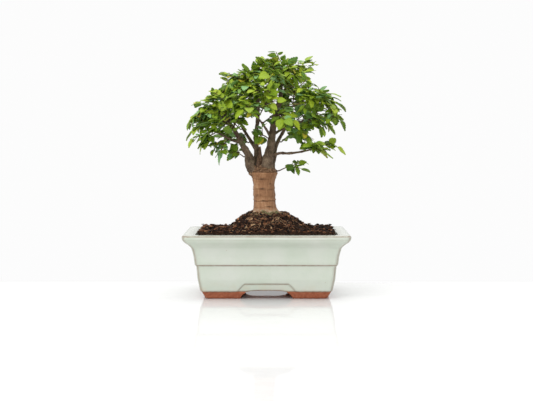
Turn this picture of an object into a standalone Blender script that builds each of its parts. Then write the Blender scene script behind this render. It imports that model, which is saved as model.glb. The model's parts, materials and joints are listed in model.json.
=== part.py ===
"""A small-leaved bonsai tree in a glazed rectangular pot.

Metres, +Z up. The origin is the centre of the pot on the surface it stands on,
and the front of the pot faces -Y. The pot holds two drain screens, a mound of
soil and the tree: a trunk, the limbs that grow out of its healed crown, and the
leafy sprays that the limbs carry.
"""
import math
import random

import bpy
from mathutils import Matrix, Vector
from mathutils.bvhtree import BVHTree

MM = 0.001

# ---- Pot ---------------------------------------------------------------
POT_WIDTH = 0.170
POT_DEPTH = 0.120
POT_HEIGHT = 0.066
CORNER_RADIUS = 0.0055
LIP_HEIGHT = 0.0042
FLANGE_DROP = 0.0130
FLANGE_INSET = 0.0090
PANEL_INSET = 0.0124
LEDGE_HEIGHT = 0.0344
LEDGE_STEP = 0.0016
BASE_INSET = 0.0175
FOOT_HEIGHT = 0.0072
FLOOR_THICKNESS = 0.0050
RIM_INNER_INSET = 0.0136
WALL = 0.0052
FOOT_LENGTH = 0.0390
FOOT_RETURN = 0.0230
FOOT_THICKNESS = 0.0095
FOOT_TAPER = 0.0034
FOOT_SLANT = 0.0060
FOOT_SETBACK = 0.0018
APRON_HALF_WIDTH = 0.0310
APRON_HALF_TOP = 0.0220
APRON_RISE = 0.0085
APRON_DEPTH = 0.0016
ARCH_HALF_WIDTH = 0.0205
ARCH_RISE = 0.0014
DRAIN_RADIUS = 0.0065
DRAIN_SPACING = 0.0600
SCREEN_SIZE = 0.0240
SCREEN_THICKNESS = 0.0009
SCREEN_PITCH = 0.0040
SCREEN_WIRE = 0.0016

# ---- Fits --------------------------------------------------------------
GAP = 0.0003

# ---- Soil --------------------------------------------------------------
SOIL_LEVEL = 0.0022
MOUND_HEIGHT = 0.0185
MOUND_INNER = 0.0120
MOUND_RIGHT = 0.0500
MOUND_LEFT = 0.0370
MOUND_DEPTH = 0.0400
SOIL_SIDES = 56

# ---- Trunk -------------------------------------------------------------
TRUNK_X = -0.0027
TRUNK_RADIUS = 0.0111
COLLAR_RADIUS = 0.0142
FLARE_RADIUS = 0.0158
TRUNK_SUNK = 0.0070
TRUNK_TOP = 0.0692
TRUNK_SIDES = 36

# ---- Crown -------------------------------------------------------------
LIMB_SIDES = 8
LIMB_SCALE = 1.0
TWIG_RADIUS = 0.00060
TWIG_TIP_RADIUS = 0.00038
NODE_LENGTH = 0.0018
NODE_PITCH = 0.0056
LEAF_LENGTH = 0.0128
LEAF_SLIMNESS = 0.56
LEAF_THICKNESS = 0.0007
LEAF_CLEARANCE = 0.00035
LEAF_FACING = (0.15, 1.15)
CROWN_CENTRE = 0.100
SHOOT_ARCH = (0.08, 0.22)
LEAF_TRIES = 14
SHOOT_TRIES = 60
CROWN_HALF_WIDTH = 0.0845
CROWN_HALF_DEPTH = 0.0590
CROWN_TOP = 0.2530
SEED = 4127

# Limbs: name, where it grows from, radius at the two ends (mm), and its line (mm
# from the pot's centre line, height above the rim).
LIMBS = [
    ("limb_left", "trunk", 4.1, 1.3,
     [(-13.4, -2.0, 62.5), (-16.8, -3, 67.5), (-18.4, -4, 78.5), (-25.2, -6, 91),
      (-32, -8, 103.6), (-39, -9, 114), (-44.5, -10, 126.6), (-46, -10, 133)]),
    ("limb_right", "trunk", 5.5, 1.4,
     [(0.4, -3.6, 63), (0.9, -3.6, 72), (3.4, -3, 84), (5.6, -3, 97), (8.0, -3, 117),
      (11.5, -2, 128), (14.6, 0, 138), (14.8, 2, 149), (13, 3, 160)]),
    ("limb_middle", "trunk", 3.5, 1.0,
     [(-8.0, 5.6, 62.5), (-9.4, 6.4, 72), (-10.2, 7, 84), (-11.4, 8, 97),
      (-9.6, 9, 114), (-8.4, 10, 134), (-9.4, 10, 150)]),
    ("limb_back_left", "trunk", 2.8, 1.0,
     [(-1.6, 10.8, 62), (-5, 16, 74), (-14, 20, 90), (-24, 26, 106), (-30, 30, 118),
      (-32, 32, 127)]),
    ("limb_back_right", "trunk", 3.0, 1.0,
     [(5.4, 7.0, 62), (7.0, 12, 74), (10.5, 18, 90), (19, 24, 106), (28, 28, 118),
      (33, 29, 127)]),
    ("branch_front", "limb_right", 1.6, 0.8,
     [(3.7, -3, 100), (-2, -14, 109), (-8, -22, 117), (-11, -27, 122)]),
    ("branch_right_upper", "limb_right", 1.7, 0.8,
     [(6.2, -3, 112), (15, -7, 123), (29, -9, 131), (38, -9, 134), (47, -9, 136)]),
    ("branch_right_far", "limb_right", 1.6, 0.8,
     [(4, -3, 99), (17, 0, 107), (32, 1, 113), (46, 0, 117), (59, -1, 119)]),
    ("branch_right_low", "limb_right", 1.8, 0.8,
     [(-0.4, -3.6, 77), (13, -6, 81.5), (23, -8, 81.5), (35, -9, 83), (44, -9, 85),
      (52, -9, 87.5)]),
    ("branch_left_mid", "limb_left", 1.5, 0.8,
     [(-26, -6, 92), (-35, -10, 95), (-45, -12, 100), (-52, -12, 104),
      (-58, -11, 107)]),
    ("branch_left_far", "limb_left", 1.3, 0.8,
     [(-39.5, -9, 115), (-49, -6, 122), (-58, -3, 127)]),
]

# Sprays: name, limb it grows from, how far along that limb, where its tip is (mm from
# the pot's centre line, height above the rim), leaf size against the usual one.
SPRAYS = [
    ("spray_top_centre", "limb_right", 1.00, (3, 0, 177), 0.95),
    ("spray_top_right", "limb_right", 0.93, (22, -6, 172), 0.95),
    ("spray_top_far_right", "limb_right", 0.86, (37, -2, 163), 0.90),
    ("spray_top_front", "limb_right", 0.82, (3, -22, 163), 1.00),
    ("spray_top_back", "limb_right", 0.90, (12, 27, 166), 0.95),
    ("spray_top_left", "limb_middle", 1.00, (-16, 2, 169), 0.95),
    ("spray_top_far_left", "limb_middle", 0.92, (-30, 2, 158), 0.95),
    ("spray_top_back_left", "limb_middle", 0.86, (-18, 32, 155), 1.00),
    ("spray_crown_front_left", "limb_middle", 0.80, (-20, -22, 151), 1.00),
    ("spray_upper_left", "limb_left", 1.00, (-36, -12, 152), 1.00),
    ("spray_upper_left_outer", "limb_left", 0.93, (-53, -16, 140), 1.00),
    ("spray_upper_left_far", "limb_left", 0.86, (-66, -15, 127), 1.00),
    ("spray_upper_left_front", "limb_left", 0.80, (-42, -34, 134), 1.05),
    ("spray_left_inner_front", "limb_left", 0.66, (-26, -31, 131), 1.05),
    ("spray_left_front", "limb_left", 0.52, (-47, -30, 116), 1.05),
    ("spray_back_left_top", "limb_back_left", 1.00, (-38, 40, 141), 1.00),
    ("spray_back_left_inner", "limb_back_left", 0.84, (-14, 43, 137), 1.00),
    ("spray_back_left_outer", "limb_back_left", 0.72, (-56, 34, 126), 1.05),
    ("spray_back_left_low", "limb_back_left", 0.50, (-44, 34, 100), 1.05),
    ("spray_left_far_upper", "branch_left_far", 1.00, (-75, -5, 115), 1.05),
    ("spray_left_far_back", "branch_left_far", 0.70, (-62, 16, 124), 1.05),
    ("spray_left_far_mid", "branch_left_mid", 1.00, (-76, -12, 106), 1.05),
    ("spray_left_mid_front", "branch_left_mid", 0.72, (-60, -32, 102), 1.05),
    ("spray_left_hanging", "branch_left_mid", 0.80, (-66, -8, 92), 1.15),
    ("spray_left_low", "branch_left_mid", 0.30, (-47, -20, 84), 1.00),
    ("spray_left_low_inner", "limb_left", 0.24, (-38, -8, 82), 0.95),
    ("spray_front_centre", "branch_front", 1.00, (-23, -42, 127), 1.15),
    ("spray_front_upper", "branch_front", 0.86, (4, -40, 144), 1.10),
    ("spray_front_right", "branch_front", 0.55, (24, -35, 118), 1.05),
    ("spray_right_upper", "branch_right_upper", 1.00, (66, -8, 140), 1.05),
    ("spray_right_upper_front", "branch_right_upper", 0.72, (45, -32, 137), 1.05),
    ("spray_right_crown", "branch_right_upper", 0.50, (28, -18, 151), 1.00),
    ("spray_right_outer", "branch_right_upper", 0.86, (70, -22, 127), 1.05),
    ("spray_back_right_top", "limb_back_right", 1.00, (43, 37, 139), 1.00),
    ("spray_back_right_inner", "limb_back_right", 0.84, (18, 43, 141), 1.00),
    ("spray_back_right_outer", "limb_back_right", 0.68, (60, 27, 122), 1.05),
    ("spray_back_right_low", "limb_back_right", 0.48, (44, 34, 98), 1.05),
    ("spray_right_far", "branch_right_far", 1.00, (76, -2, 117), 1.05),
    ("spray_right_fan", "branch_right_far", 0.66, (56, -26, 108), 1.10),
    ("spray_right_fan_inner", "branch_right_far", 0.34, (31, -28, 103), 1.10),
    ("spray_right_low_tip", "branch_right_low", 1.00, (72, -9, 89), 1.10),
    ("spray_right_low_front", "branch_right_low", 0.62, (55, -25, 84), 1.10),
    ("spray_inner_low", "limb_right", 0.34, (-8, -20, 98), 0.90),
    ("spray_right_lowest", "trunk", 0.00, (35, -8, 66), 0.78),
]
LOWEST_START = (13.5, -3.0, 63.5)

COLOURS = {
    "glaze": ((0.66, 0.74, 0.62), 0.16, 0.0),
    "screen": ((0.03, 0.03, 0.03), 0.55, 0.0),
    "soil": ((0.055, 0.030, 0.018), 0.95, 0.0),
    "trunk_bark": ((0.36, 0.18, 0.09), 0.62, 0.0),
    "limb_bark": ((0.20, 0.14, 0.10), 0.80, 0.0),
    "leaf": ((0.10, 0.25, 0.03), 0.45, 0.0),
}


# ---- Scene helpers -----------------------------------------------------
def clear_scene():
    for ob in list(bpy.data.objects):
        bpy.data.objects.remove(ob, do_unlink=True)


def material(name):
    colour, roughness, metallic = COLOURS[name]
    mat = bpy.data.materials.get(name)
    if mat is None:
        mat = bpy.data.materials.new(name)
        mat.use_nodes = True
        bsdf = mat.node_tree.nodes["Principled BSDF"]
        bsdf.inputs["Base Color"].default_value = (*colour, 1.0)
        bsdf.inputs["Roughness"].default_value = roughness
        bsdf.inputs["Metallic"].default_value = metallic
        mat.diffuse_color = (*colour, 1.0)
    return mat


def make_object(name, verts, faces, mat_name=None, smooth=False):
    mesh = bpy.data.meshes.new(name)
    mesh.from_pydata([tuple(v) for v in verts], [], faces)
    mesh.validate()
    mesh.update()
    ob = bpy.data.objects.new(name, mesh)
    bpy.context.scene.collection.objects.link(ob)
    if mat_name:
        mesh.materials.append(material(mat_name))
    if smooth:
        mesh.polygons.foreach_set("use_smooth", [True] * len(mesh.polygons))
    return ob


def make_guide(name, verts, faces):
    ob = make_object(name, verts, faces)
    ob.hide_render = True
    ob.display_type = "WIRE"
    return ob


def boolean(target, cutter, operation):
    mod = target.modifiers.new(cutter.name, "BOOLEAN")
    mod.operation = operation
    mod.solver = "EXACT"
    mod.object = cutter


def loft(rings, close_start=True, close_end=True):
    """Faces between rings of equal length, each counter-clockwise about the line."""
    count = len(rings[0])
    verts = [v for ring in rings for v in ring]
    faces = []
    for k in range(len(rings) - 1):
        for i in range(count):
            j = (i + 1) % count
            faces.append((k * count + i, k * count + j,
                          (k + 1) * count + j, (k + 1) * count + i))
    if close_start:
        faces.append(tuple(reversed(range(count))))
    if close_end:
        last = (len(rings) - 1) * count
        faces.append(tuple(range(last, last + count)))
    return verts, faces


# ---- Pot ---------------------------------------------------------------
def rounded_rectangle(half_x, half_y, radius, z, steps=4):
    """Counter-clockwise seen from above, starting in the +X +Y corner."""
    points = []
    corners = ((1, 1, 0.0), (-1, 1, 90.0), (-1, -1, 180.0), (1, -1, 270.0))
    for sx, sy, start in corners:
        cx = sx * (half_x - radius)
        cy = sy * (half_y - radius)
        for i in range(steps + 1):
            angle = math.radians(start + 90.0 * i / steps)
            points.append((cx + radius * math.cos(angle),
                           cy + radius * math.sin(angle), z))
    return points


def pot_ring(z, inset, radius=None):
    radius = CORNER_RADIUS if radius is None else radius
    return rounded_rectangle(POT_WIDTH / 2 - inset, POT_DEPTH / 2 - inset, radius, z)


def wall_inset(z):
    """Inset of the inside wall at a height, a wall's thickness in from outside."""
    flange_z = POT_HEIGHT - FLANGE_DROP
    if z >= flange_z:
        blend = (POT_HEIGHT - z) / FLANGE_DROP
        start, end = RIM_INNER_INSET, FLANGE_INSET + WALL
        return start + (end - start) * blend
    if z >= LEDGE_HEIGHT:
        blend = (flange_z - z) / (flange_z - LEDGE_HEIGHT)
        return WALL + FLANGE_INSET + (PANEL_INSET - FLANGE_INSET) * blend
    blend = (LEDGE_HEIGHT - z) / (LEDGE_HEIGHT - FOOT_HEIGHT)
    return WALL + PANEL_INSET + (BASE_INSET - PANEL_INSET) * blend


def floor_height():
    return FOOT_HEIGHT + FLOOR_THICKNESS


def outer_profile():
    """Heights and insets up the outside, from the base to the top of the lip."""
    flange_z = POT_HEIGHT - FLANGE_DROP
    step_inset = PANEL_INSET + LEDGE_STEP
    rise = flange_z - LEDGE_HEIGHT
    profile = [
        (FOOT_HEIGHT, BASE_INSET + 0.0012),
        (FOOT_HEIGHT + 0.0010, BASE_INSET),
        (FOOT_HEIGHT + 0.0130, BASE_INSET - 0.0024),
        (LEDGE_HEIGHT - 0.0014, step_inset),
        (LEDGE_HEIGHT - 0.0002, step_inset - 0.0002),
        (LEDGE_HEIGHT + 0.0008, PANEL_INSET),
        (LEDGE_HEIGHT + rise * 0.50, FLANGE_INSET + 0.0024),
        (LEDGE_HEIGHT + rise * 0.80, FLANGE_INSET + 0.0011),
        (flange_z, FLANGE_INSET),
        (flange_z + 0.0030, FLANGE_INSET - 0.0029),
        (flange_z + 0.0060, FLANGE_INSET - 0.0066),
        (POT_HEIGHT - LIP_HEIGHT - 0.0010, 0.0010),
        (POT_HEIGHT - LIP_HEIGHT, 0.0003),
        (POT_HEIGHT - 0.0012, 0.0),
        (POT_HEIGHT, 0.0011),
    ]
    return profile


def inner_profile():
    """Heights and insets from the rim down the inside to the floor."""
    floor = floor_height()
    top = POT_HEIGHT
    profile = [
        (top, RIM_INNER_INSET - 0.0012),
        (top - 0.0012, RIM_INNER_INSET),
    ]
    for share in (0.82, 0.60, 0.38, 0.16):
        z = floor + (top - floor) * share
        profile.append((z, wall_inset(z)))
    z = floor + 0.0022
    profile.append((z, wall_inset(z) + 0.0006))
    profile.append((floor, wall_inset(floor) + 0.0030))
    return profile


def foot_mesh(sx, sy):
    """One L-shaped foot: a leg along the front or back, and one along the side."""
    top_x = POT_WIDTH / 2 - BASE_INSET - FOOT_SETBACK
    top_y = POT_DEPTH / 2 - BASE_INSET - FOOT_SETBACK
    low_x = top_x - FOOT_TAPER
    low_y = top_y - FOOT_TAPER
    top_z = FOOT_HEIGHT + FLOOR_THICKNESS * 0.5

    def outline(out_x, out_y, slant, z):
        inner_x = out_x - FOOT_THICKNESS
        inner_y = out_y - FOOT_THICKNESS
        front_end = top_x - FOOT_LENGTH + slant
        side_end = top_y - FOOT_RETURN + slant
        points = [(out_x, out_y), (front_end, out_y), (front_end, inner_y),
                  (inner_x, inner_y), (inner_x, side_end), (out_x, side_end)]
        return [(sx * x, sy * y, z) for x, y in points]

    rings = [
        outline(low_x, low_y, 0.0, 0.0),
        outline(low_x + FOOT_TAPER * 0.6, low_y + FOOT_TAPER * 0.6,
                -FOOT_SLANT * 0.45, FOOT_HEIGHT * 0.5),
        outline(top_x, top_y, -FOOT_SLANT, FOOT_HEIGHT),
        outline(top_x, top_y, -FOOT_SLANT, top_z),
    ]
    if sx * sy < 0:
        rings = [list(reversed(ring)) for ring in rings]
    return loft(rings)


def apron_mesh(sy):
    """The arched recess low in the middle of the front and back walls."""
    low = FOOT_HEIGHT - 0.002
    top = FOOT_HEIGHT + APRON_RISE
    face = POT_DEPTH / 2 - BASE_INSET
    inner = face - APRON_DEPTH
    outer = face + 0.010
    lean = (BASE_INSET - PANEL_INSET - LEDGE_STEP) / (LEDGE_HEIGHT - FOOT_HEIGHT)
    points = [(-APRON_HALF_WIDTH, low), (APRON_HALF_WIDTH, low),
              (APRON_HALF_WIDTH - 0.0015, FOOT_HEIGHT + 0.0025),
              (APRON_HALF_TOP + 0.0030, top - 0.0016), (APRON_HALF_TOP, top),
              (-APRON_HALF_TOP, top), (-APRON_HALF_TOP - 0.0030, top - 0.0016),
              (-APRON_HALF_WIDTH + 0.0015, FOOT_HEIGHT + 0.0025)]
    near = [(x, sy * (inner + (z - FOOT_HEIGHT) * lean), z) for x, z in points]
    far = [(x, sy * outer, z) for x, z in points]
    rings = [near, far]
    if sy > 0:
        rings = [list(reversed(near)), list(reversed(far))]
    return loft(rings)


def arch_height(x):
    """Rise of the shallow vault under the pot, front to back between the feet."""
    return ARCH_RISE * (1.0 - abs(x / ARCH_HALF_WIDTH) ** 4)


def arch_mesh():
    """The vault's cutter: its arched top, closed below the base."""
    shares = (-0.94, -0.8, -0.6, -0.35, -0.12, 0.12, 0.35, 0.6, 0.8, 0.94)
    xs = [ARCH_HALF_WIDTH * share for share in shares]
    line = [(x, FOOT_HEIGHT + arch_height(x)) for x in reversed(xs)]
    line += [(-ARCH_HALF_WIDTH, FOOT_HEIGHT - 0.003), (ARCH_HALF_WIDTH, FOOT_HEIGHT - 0.003)]
    rings = [[(x, y, z) for x, z in line] for y in (POT_DEPTH / 2, -POT_DEPTH / 2)]
    return loft(rings)


def circle(cx, cy, z, radius, count):
    return [(cx + radius * math.cos(math.tau * i / count),
             cy + radius * math.sin(math.tau * i / count), z) for i in range(count)]


def build_pot():
    rings = [pot_ring(z, inset) for z, inset in outer_profile()]
    rings += [pot_ring(z, inset, CORNER_RADIUS * 0.9) for z, inset in inner_profile()]
    verts, faces = loft(rings)
    pot = make_object("pot", verts, faces, "glaze", smooth=True)
    for sx in (-1, 1):
        for sy in (-1, 1):
            side = "left" if sx < 0 else "right"
            end = "front" if sy < 0 else "back"
            foot = make_guide(f"foot_shape_{end}_{side}", *foot_mesh(sx, sy))
            boolean(pot, foot, "UNION")
    for sy, end in ((-1, "front"), (1, "back")):
        boolean(pot, make_guide(f"apron_cut_{end}", *apron_mesh(sy)), "DIFFERENCE")
    boolean(pot, make_guide("arch_cut", *arch_mesh()), "DIFFERENCE")
    for sx, side in ((-1, "left"), (1, "right")):
        cx = sx * DRAIN_SPACING / 2
        rings = [circle(cx, 0, z, DRAIN_RADIUS, 20)
                 for z in (FOOT_HEIGHT - 0.003, floor_height() + 0.003)]
        boolean(pot, make_guide(f"drain_cut_{side}", *loft(rings)), "DIFFERENCE")
    return pot


def build_screen(side, sx):
    """A square of plastic mesh over a drain hole: one sheet with square holes."""
    count = int(round((SCREEN_SIZE - SCREEN_WIRE) / SCREEN_PITCH))
    half = (count * SCREEN_PITCH + SCREEN_WIRE) / 2
    lines = []
    for i in range(count + 1):
        start = -half + i * SCREEN_PITCH
        lines += [start, start + SCREEN_WIRE]
    n = len(lines)
    low = floor_height() + GAP
    cx = sx * DRAIN_SPACING / 2
    verts = []
    for z in (low, low + SCREEN_THICKNESS):
        verts += [(cx + x, y, z) for y in lines for x in lines]

    def solid(i, j):
        inside = 0 <= i < n - 1 and 0 <= j < n - 1
        return inside and not (i % 2 == 1 and j % 2 == 1)

    def vid(i, j, layer):
        return layer * n * n + j * n + i

    faces = []
    for j in range(n - 1):
        for i in range(n - 1):
            if not solid(i, j):
                continue
            faces.append((vid(i, j, 1), vid(i + 1, j, 1),
                          vid(i + 1, j + 1, 1), vid(i, j + 1, 1)))
            faces.append((vid(i, j, 0), vid(i, j + 1, 0),
                          vid(i + 1, j + 1, 0), vid(i + 1, j, 0)))
            for di, dj, a, b in ((0, -1, (i, j), (i + 1, j)),
                                 (1, 0, (i + 1, j), (i + 1, j + 1)),
                                 (0, 1, (i + 1, j + 1), (i, j + 1)),
                                 (-1, 0, (i, j + 1), (i, j))):
                if not solid(i + di, j + dj):
                    faces.append((vid(*a, 0), vid(*b, 0), vid(*b, 1), vid(*a, 1)))
    return make_object(f"drain_screen_{side}", verts, faces, "screen")


# ---- Trunk and soil ----------------------------------------------------
def wobble(angle, height, amount):
    """A smooth uneven outline, the same for every piece that follows it."""
    z = height / MM
    value = math.sin(2 * angle + 0.7 + z * 0.03)
    value += 0.6 * math.sin(3 * angle + 2.1 - z * 0.05)
    value += 0.4 * math.sin(5 * angle + 0.4 + z * 0.02)
    return amount * value / 2.0


def trunk_ring(height, radius, amount):
    """A ring of the trunk at a height above the rim."""
    ring = []
    for i in range(TRUNK_SIDES):
        angle = math.tau * i / TRUNK_SIDES
        r = radius + wobble(angle, height, amount)
        ring.append((TRUNK_X + r * math.cos(angle), r * math.sin(angle),
                     POT_HEIGHT + height))
    return ring


def flare_radius(angle):
    """Root crown: three low lobes, the largest towards +X."""
    lobe = 0.5 + 0.5 * math.cos(angle)
    return FLARE_RADIUS * (0.93 + 0.12 * lobe + 0.05 * math.cos(3 * angle + 0.6))


def base_ring(height, share, extra=0.0):
    """A ring between the straight trunk and the root flare."""
    ring = []
    for i in range(TRUNK_SIDES):
        angle = math.tau * i / TRUNK_SIDES
        r = TRUNK_RADIUS + (flare_radius(angle) - TRUNK_RADIUS) * share + extra
        ring.append((TRUNK_X + r * math.cos(angle), r * math.sin(angle),
                     POT_HEIGHT + height))
    return ring


def trunk_bottom():
    return SOIL_LEVEL + MOUND_HEIGHT - TRUNK_SUNK


def trunk_rings():
    low = trunk_bottom()
    top = TRUNK_TOP
    soil_top = SOIL_LEVEL + MOUND_HEIGHT
    collar = top - 0.0092
    rings = [
        base_ring(low, 1.00),
        base_ring(soil_top - 0.0010, 0.96),
        base_ring(soil_top + 0.0016, 0.52),
        base_ring(soil_top + 0.0046, 0.16),
    ]
    straight = (
        (soil_top + 0.0090, 1.01, 0.0004), (soil_top + 0.0150, 0.99, 0.0003),
        (soil_top + 0.0152 + 0.0020, 1.03, 0.0003),
        (soil_top + 0.0212, 1.00, 0.0003), (soil_top + 0.0282, 0.98, 0.0004),
        (collar - 0.0060, 1.01, 0.0004),
    )
    for height, share, amount in straight:
        rings.append(trunk_ring(height, TRUNK_RADIUS * share, amount))
    crown = (
        (collar - 0.0024, COLLAR_RADIUS - 0.0012), (collar, COLLAR_RADIUS),
        (collar + 0.0022, COLLAR_RADIUS - 0.0006),
        (collar + 0.0046, COLLAR_RADIUS - 0.0018),
        (collar + 0.0068, COLLAR_RADIUS - 0.0044),
        (collar + 0.0082, COLLAR_RADIUS - 0.0078),
    )
    for height, radius in crown:
        rings.append(trunk_ring(height, radius, 0.0008))
    return rings


def build_trunk(sockets):
    verts, faces = loft(trunk_rings())
    trunk = make_object("trunk", verts, faces, "trunk_bark", smooth=True)
    for name, guide_verts, guide_faces in sockets:
        boolean(trunk, make_guide(f"socket_{name}", guide_verts, guide_faces),
                "DIFFERENCE")
    return trunk


def mound_height(x, y):
    """Height of the soil above the rim at a point."""
    dx = x - TRUNK_X
    reach = MOUND_RIGHT if dx > 0 else MOUND_LEFT
    r = math.hypot(dx, y)
    if r < 1e-9:
        return SOIL_LEVEL + MOUND_HEIGHT
    c, s = dx / r, y / r
    edge = 1.0 / math.hypot(c / reach, s / MOUND_DEPTH)
    t = min(1.0, max(0.0, (r - MOUND_INNER) / (edge - MOUND_INNER)))
    lift = (1.0 - t ** 1.6) ** 1.1
    rough = 0.0005 * math.sin(x / MM * 0.61 + 1.3) * math.sin(y / MM * 0.53 + 0.4)
    return SOIL_LEVEL + MOUND_HEIGHT * lift + rough


def cavity_inset(z):
    """Inset of the pot's inside face at a height."""
    profile = inner_profile()
    for (z_high, a), (z_low, b) in zip(profile, profile[1:]):
        if z >= z_low:
            share = min(1.0, max(0.0, (z_high - z) / (z_high - z_low)))
            return a + (b - a) * share
    return profile[-1][1]


def soil_edge(angle, z):
    """Where a ray from the trunk's axis meets the soil's edge at a height."""
    inset = cavity_inset(z) + GAP + 0.0001
    half_x = POT_WIDTH / 2 - inset
    half_y = POT_DEPTH / 2 - inset
    radius = CORNER_RADIUS
    c, s = math.cos(angle), math.sin(angle)
    low, high = 0.0, POT_WIDTH
    for _ in range(40):
        mid = (low + high) / 2
        x, y = abs(TRUNK_X + mid * c), abs(mid * s)
        over_x = max(0.0, x - (half_x - radius))
        over_y = max(0.0, y - (half_y - radius))
        outside = x > half_x or y > half_y or math.hypot(over_x, over_y) > radius
        if outside:
            high = mid
        else:
            low = mid
    return low


def build_soil():
    bottom = floor_height() + GAP + SCREEN_THICKNESS + GAP
    pocket = POT_HEIGHT + trunk_bottom() - GAP
    angles = [math.tau * i / SOIL_SIDES for i in range(SOIL_SIDES)]

    def pocket_radius(angle):
        return flare_radius(angle) + GAP + 0.0002

    def ring_at(radius_of, z_of):
        ring = []
        for angle in angles:
            r = radius_of(angle)
            x = TRUNK_X + r * math.cos(angle)
            y = r * math.sin(angle)
            ring.append((x, y, z_of(x, y)))
        return ring

    edge_z = POT_HEIGHT - 0.0030
    levels = sorted(z for z, _ in inner_profile() if bottom + 0.0005 < z < edge_z)
    rings = []
    for z in [bottom] + levels + [edge_z]:
        rings.append(ring_at(lambda a, z=z: soil_edge(a, z), lambda x, y, z=z: z))
    for share in (0.985, 0.90, 0.78, 0.65, 0.52, 0.40, 0.28, 0.17, 0.08, 0.0):
        def radius_of(angle, share=share):
            inner = pocket_radius(angle)
            return inner + (soil_edge(angle, edge_z) - inner) * share
        lower = 0.0012 if share > 0.95 else 0.0
        rings.append(ring_at(radius_of,
                             lambda x, y, d=lower: POT_HEIGHT + mound_height(x, y) - d))
    rings.append(ring_at(pocket_radius, lambda x, y: pocket))
    verts, faces = loft(rings)
    return make_object("soil", verts, faces, "soil", smooth=True)


# ---- Limbs -------------------------------------------------------------
def to_metres(point):
    return Vector((point[0] * MM, point[1] * MM, POT_HEIGHT + point[2] * MM))


def curve_points(control, steps):
    """A smooth line through the control points."""
    points = [to_metres(p) for p in control]
    ends = [points[0] * 2 - points[1]] + points + [points[-1] * 2 - points[-2]]
    line = []
    for k in range(1, len(ends) - 2):
        a, b, c, d = ends[k - 1:k + 3]
        for i in range(steps):
            t = i / steps
            line.append(0.5 * ((2 * b) + (c - a) * t + (2 * a - 5 * b + 4 * c - d) * t ** 2
                               + (3 * b - a - 3 * c + d) * t ** 3))
    line.append(points[-1].copy())
    return line


def frames_along(line, up):
    """Direction, up and side at each point of a line, turned as little as possible."""
    frames = []
    last = len(line) - 1
    for i, point in enumerate(line):
        ahead = line[min(i + 1, last)] - line[max(i - 1, 0)]
        ahead.normalize()
        up = (up - ahead * up.dot(ahead)).normalized()
        frames.append((point, ahead, up.copy(), ahead.cross(up)))
    return frames


def tube(line, radii, sides, up=Vector((0.3, -0.9, 0.1))):
    rings = []
    for (point, _, u, s), radius in zip(frames_along(line, up), radii):
        ring = []
        for i in range(sides):
            angle = math.tau * i / sides
            ring.append(point + (u * math.cos(angle) + s * math.sin(angle)) * radius)
        rings.append(ring)
    return loft(rings)


def limb_radii(line, start, end):
    lengths = [0.0]
    for a, b in zip(line, line[1:]):
        lengths.append(lengths[-1] + (b - a).length)
    radii = []
    for run in lengths:
        share = run / lengths[-1]
        swell = 1.0 + 0.22 * max(0.0, 1.0 - share * 9.0)
        radii.append(LIMB_SCALE * MM * (start + (end - start) * share ** 0.8) * swell)
    return radii


def trim_start(line, radii, distance):
    """The line with a length cut from its start."""
    run = 0.0
    for i in range(len(line) - 1):
        step = (line[i + 1] - line[i]).length
        if run + step > distance:
            t = (distance - run) / step
            start = line[i].lerp(line[i + 1], t)
            r = radii[i] + (radii[i + 1] - radii[i]) * t
            if (line[i + 1] - start).length < 0.0004:
                i += 1
            return [start] + line[i + 1:], [r] + radii[i + 1:]
        run += step
    return line, radii


def nearest_on(line, radii, point):
    """Distance from a point to a line, and the line's radius there."""
    best = None
    for i in range(len(line) - 1):
        step = line[i + 1] - line[i]
        t = min(1.0, max(0.0, (point - line[i]).dot(step) / step.length_squared))
        gap = (point - line[i].lerp(line[i + 1], t)).length
        if best is None or gap < best[0]:
            best = (gap, radii[i] + (radii[i + 1] - radii[i]) * t)
    return best


def limb_lines():
    """Each limb's line and radii; a branch starts clear of the limb it grows from."""
    lines = {}
    for name, parent, start, end, control in LIMBS:
        line = curve_points(control, 2)
        radii = limb_radii(line, start, end)
        if parent != "trunk":
            for _ in range(80):
                gap, radius = nearest_on(*lines[parent], line[0])
                if gap > radius + radii[0] * 0.9 + GAP * 2:
                    break
                line, radii = trim_start(line, radii, 0.0002)
        lines[name] = (line, radii)
    return lines


def socket_shapes(lines):
    shapes = []
    for name, parent, start, end, control in LIMBS:
        if parent != "trunk":
            continue
        line, radii = lines[name]
        first = line[0] - (line[1] - line[0]).normalized() * GAP
        shapes.append((name, *tube([first] + line[1:5],
                                   [r + GAP for r in radii[:5]], LIMB_SIDES)))
    return shapes


def point_along(line, radii, share):
    lengths = [0.0]
    for a, b in zip(line, line[1:]):
        lengths.append(lengths[-1] + (b - a).length)
    target = lengths[-1] * share
    for i in range(len(line) - 1):
        if target <= lengths[i + 1] + 1e-12:
            t = (target - lengths[i]) / max(1e-9, lengths[i + 1] - lengths[i])
            ahead = (line[i + 1] - line[i]).normalized()
            return line[i].lerp(line[i + 1], t), ahead, \
                radii[i] + (radii[i + 1] - radii[i]) * t
    return line[-1].copy(), (line[-1] - line[-2]).normalized(), radii[-1]


# ---- Clearances between pieces ------------------------------------------
class Occupied:
    """The shapes already placed, with their boxes, for clearance tests."""

    def __init__(self):
        self.items = []

    def add(self, verts, faces):
        low = [min(v[i] for v in verts) for i in range(3)]
        high = [max(v[i] for v in verts) for i in range(3)]
        tree = BVHTree.FromPolygons([tuple(v) for v in verts], faces)
        self.items.append((low, high, tree))

    def hits(self, verts, faces, skip=()):
        low = [min(v[i] for v in verts) for i in range(3)]
        high = [max(v[i] for v in verts) for i in range(3)]
        tree = None
        for index, (a, b, other) in enumerate(self.items):
            if a[0] > high[0] or b[0] < low[0] or a[1] > high[1] or b[1] < low[1] \
                    or a[2] > high[2] or b[2] < low[2] or index in skip:
                continue
            if tree is None:
                tree = BVHTree.FromPolygons([tuple(v) for v in verts], faces)
            if tree.overlap(other):
                return True
        return False


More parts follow.
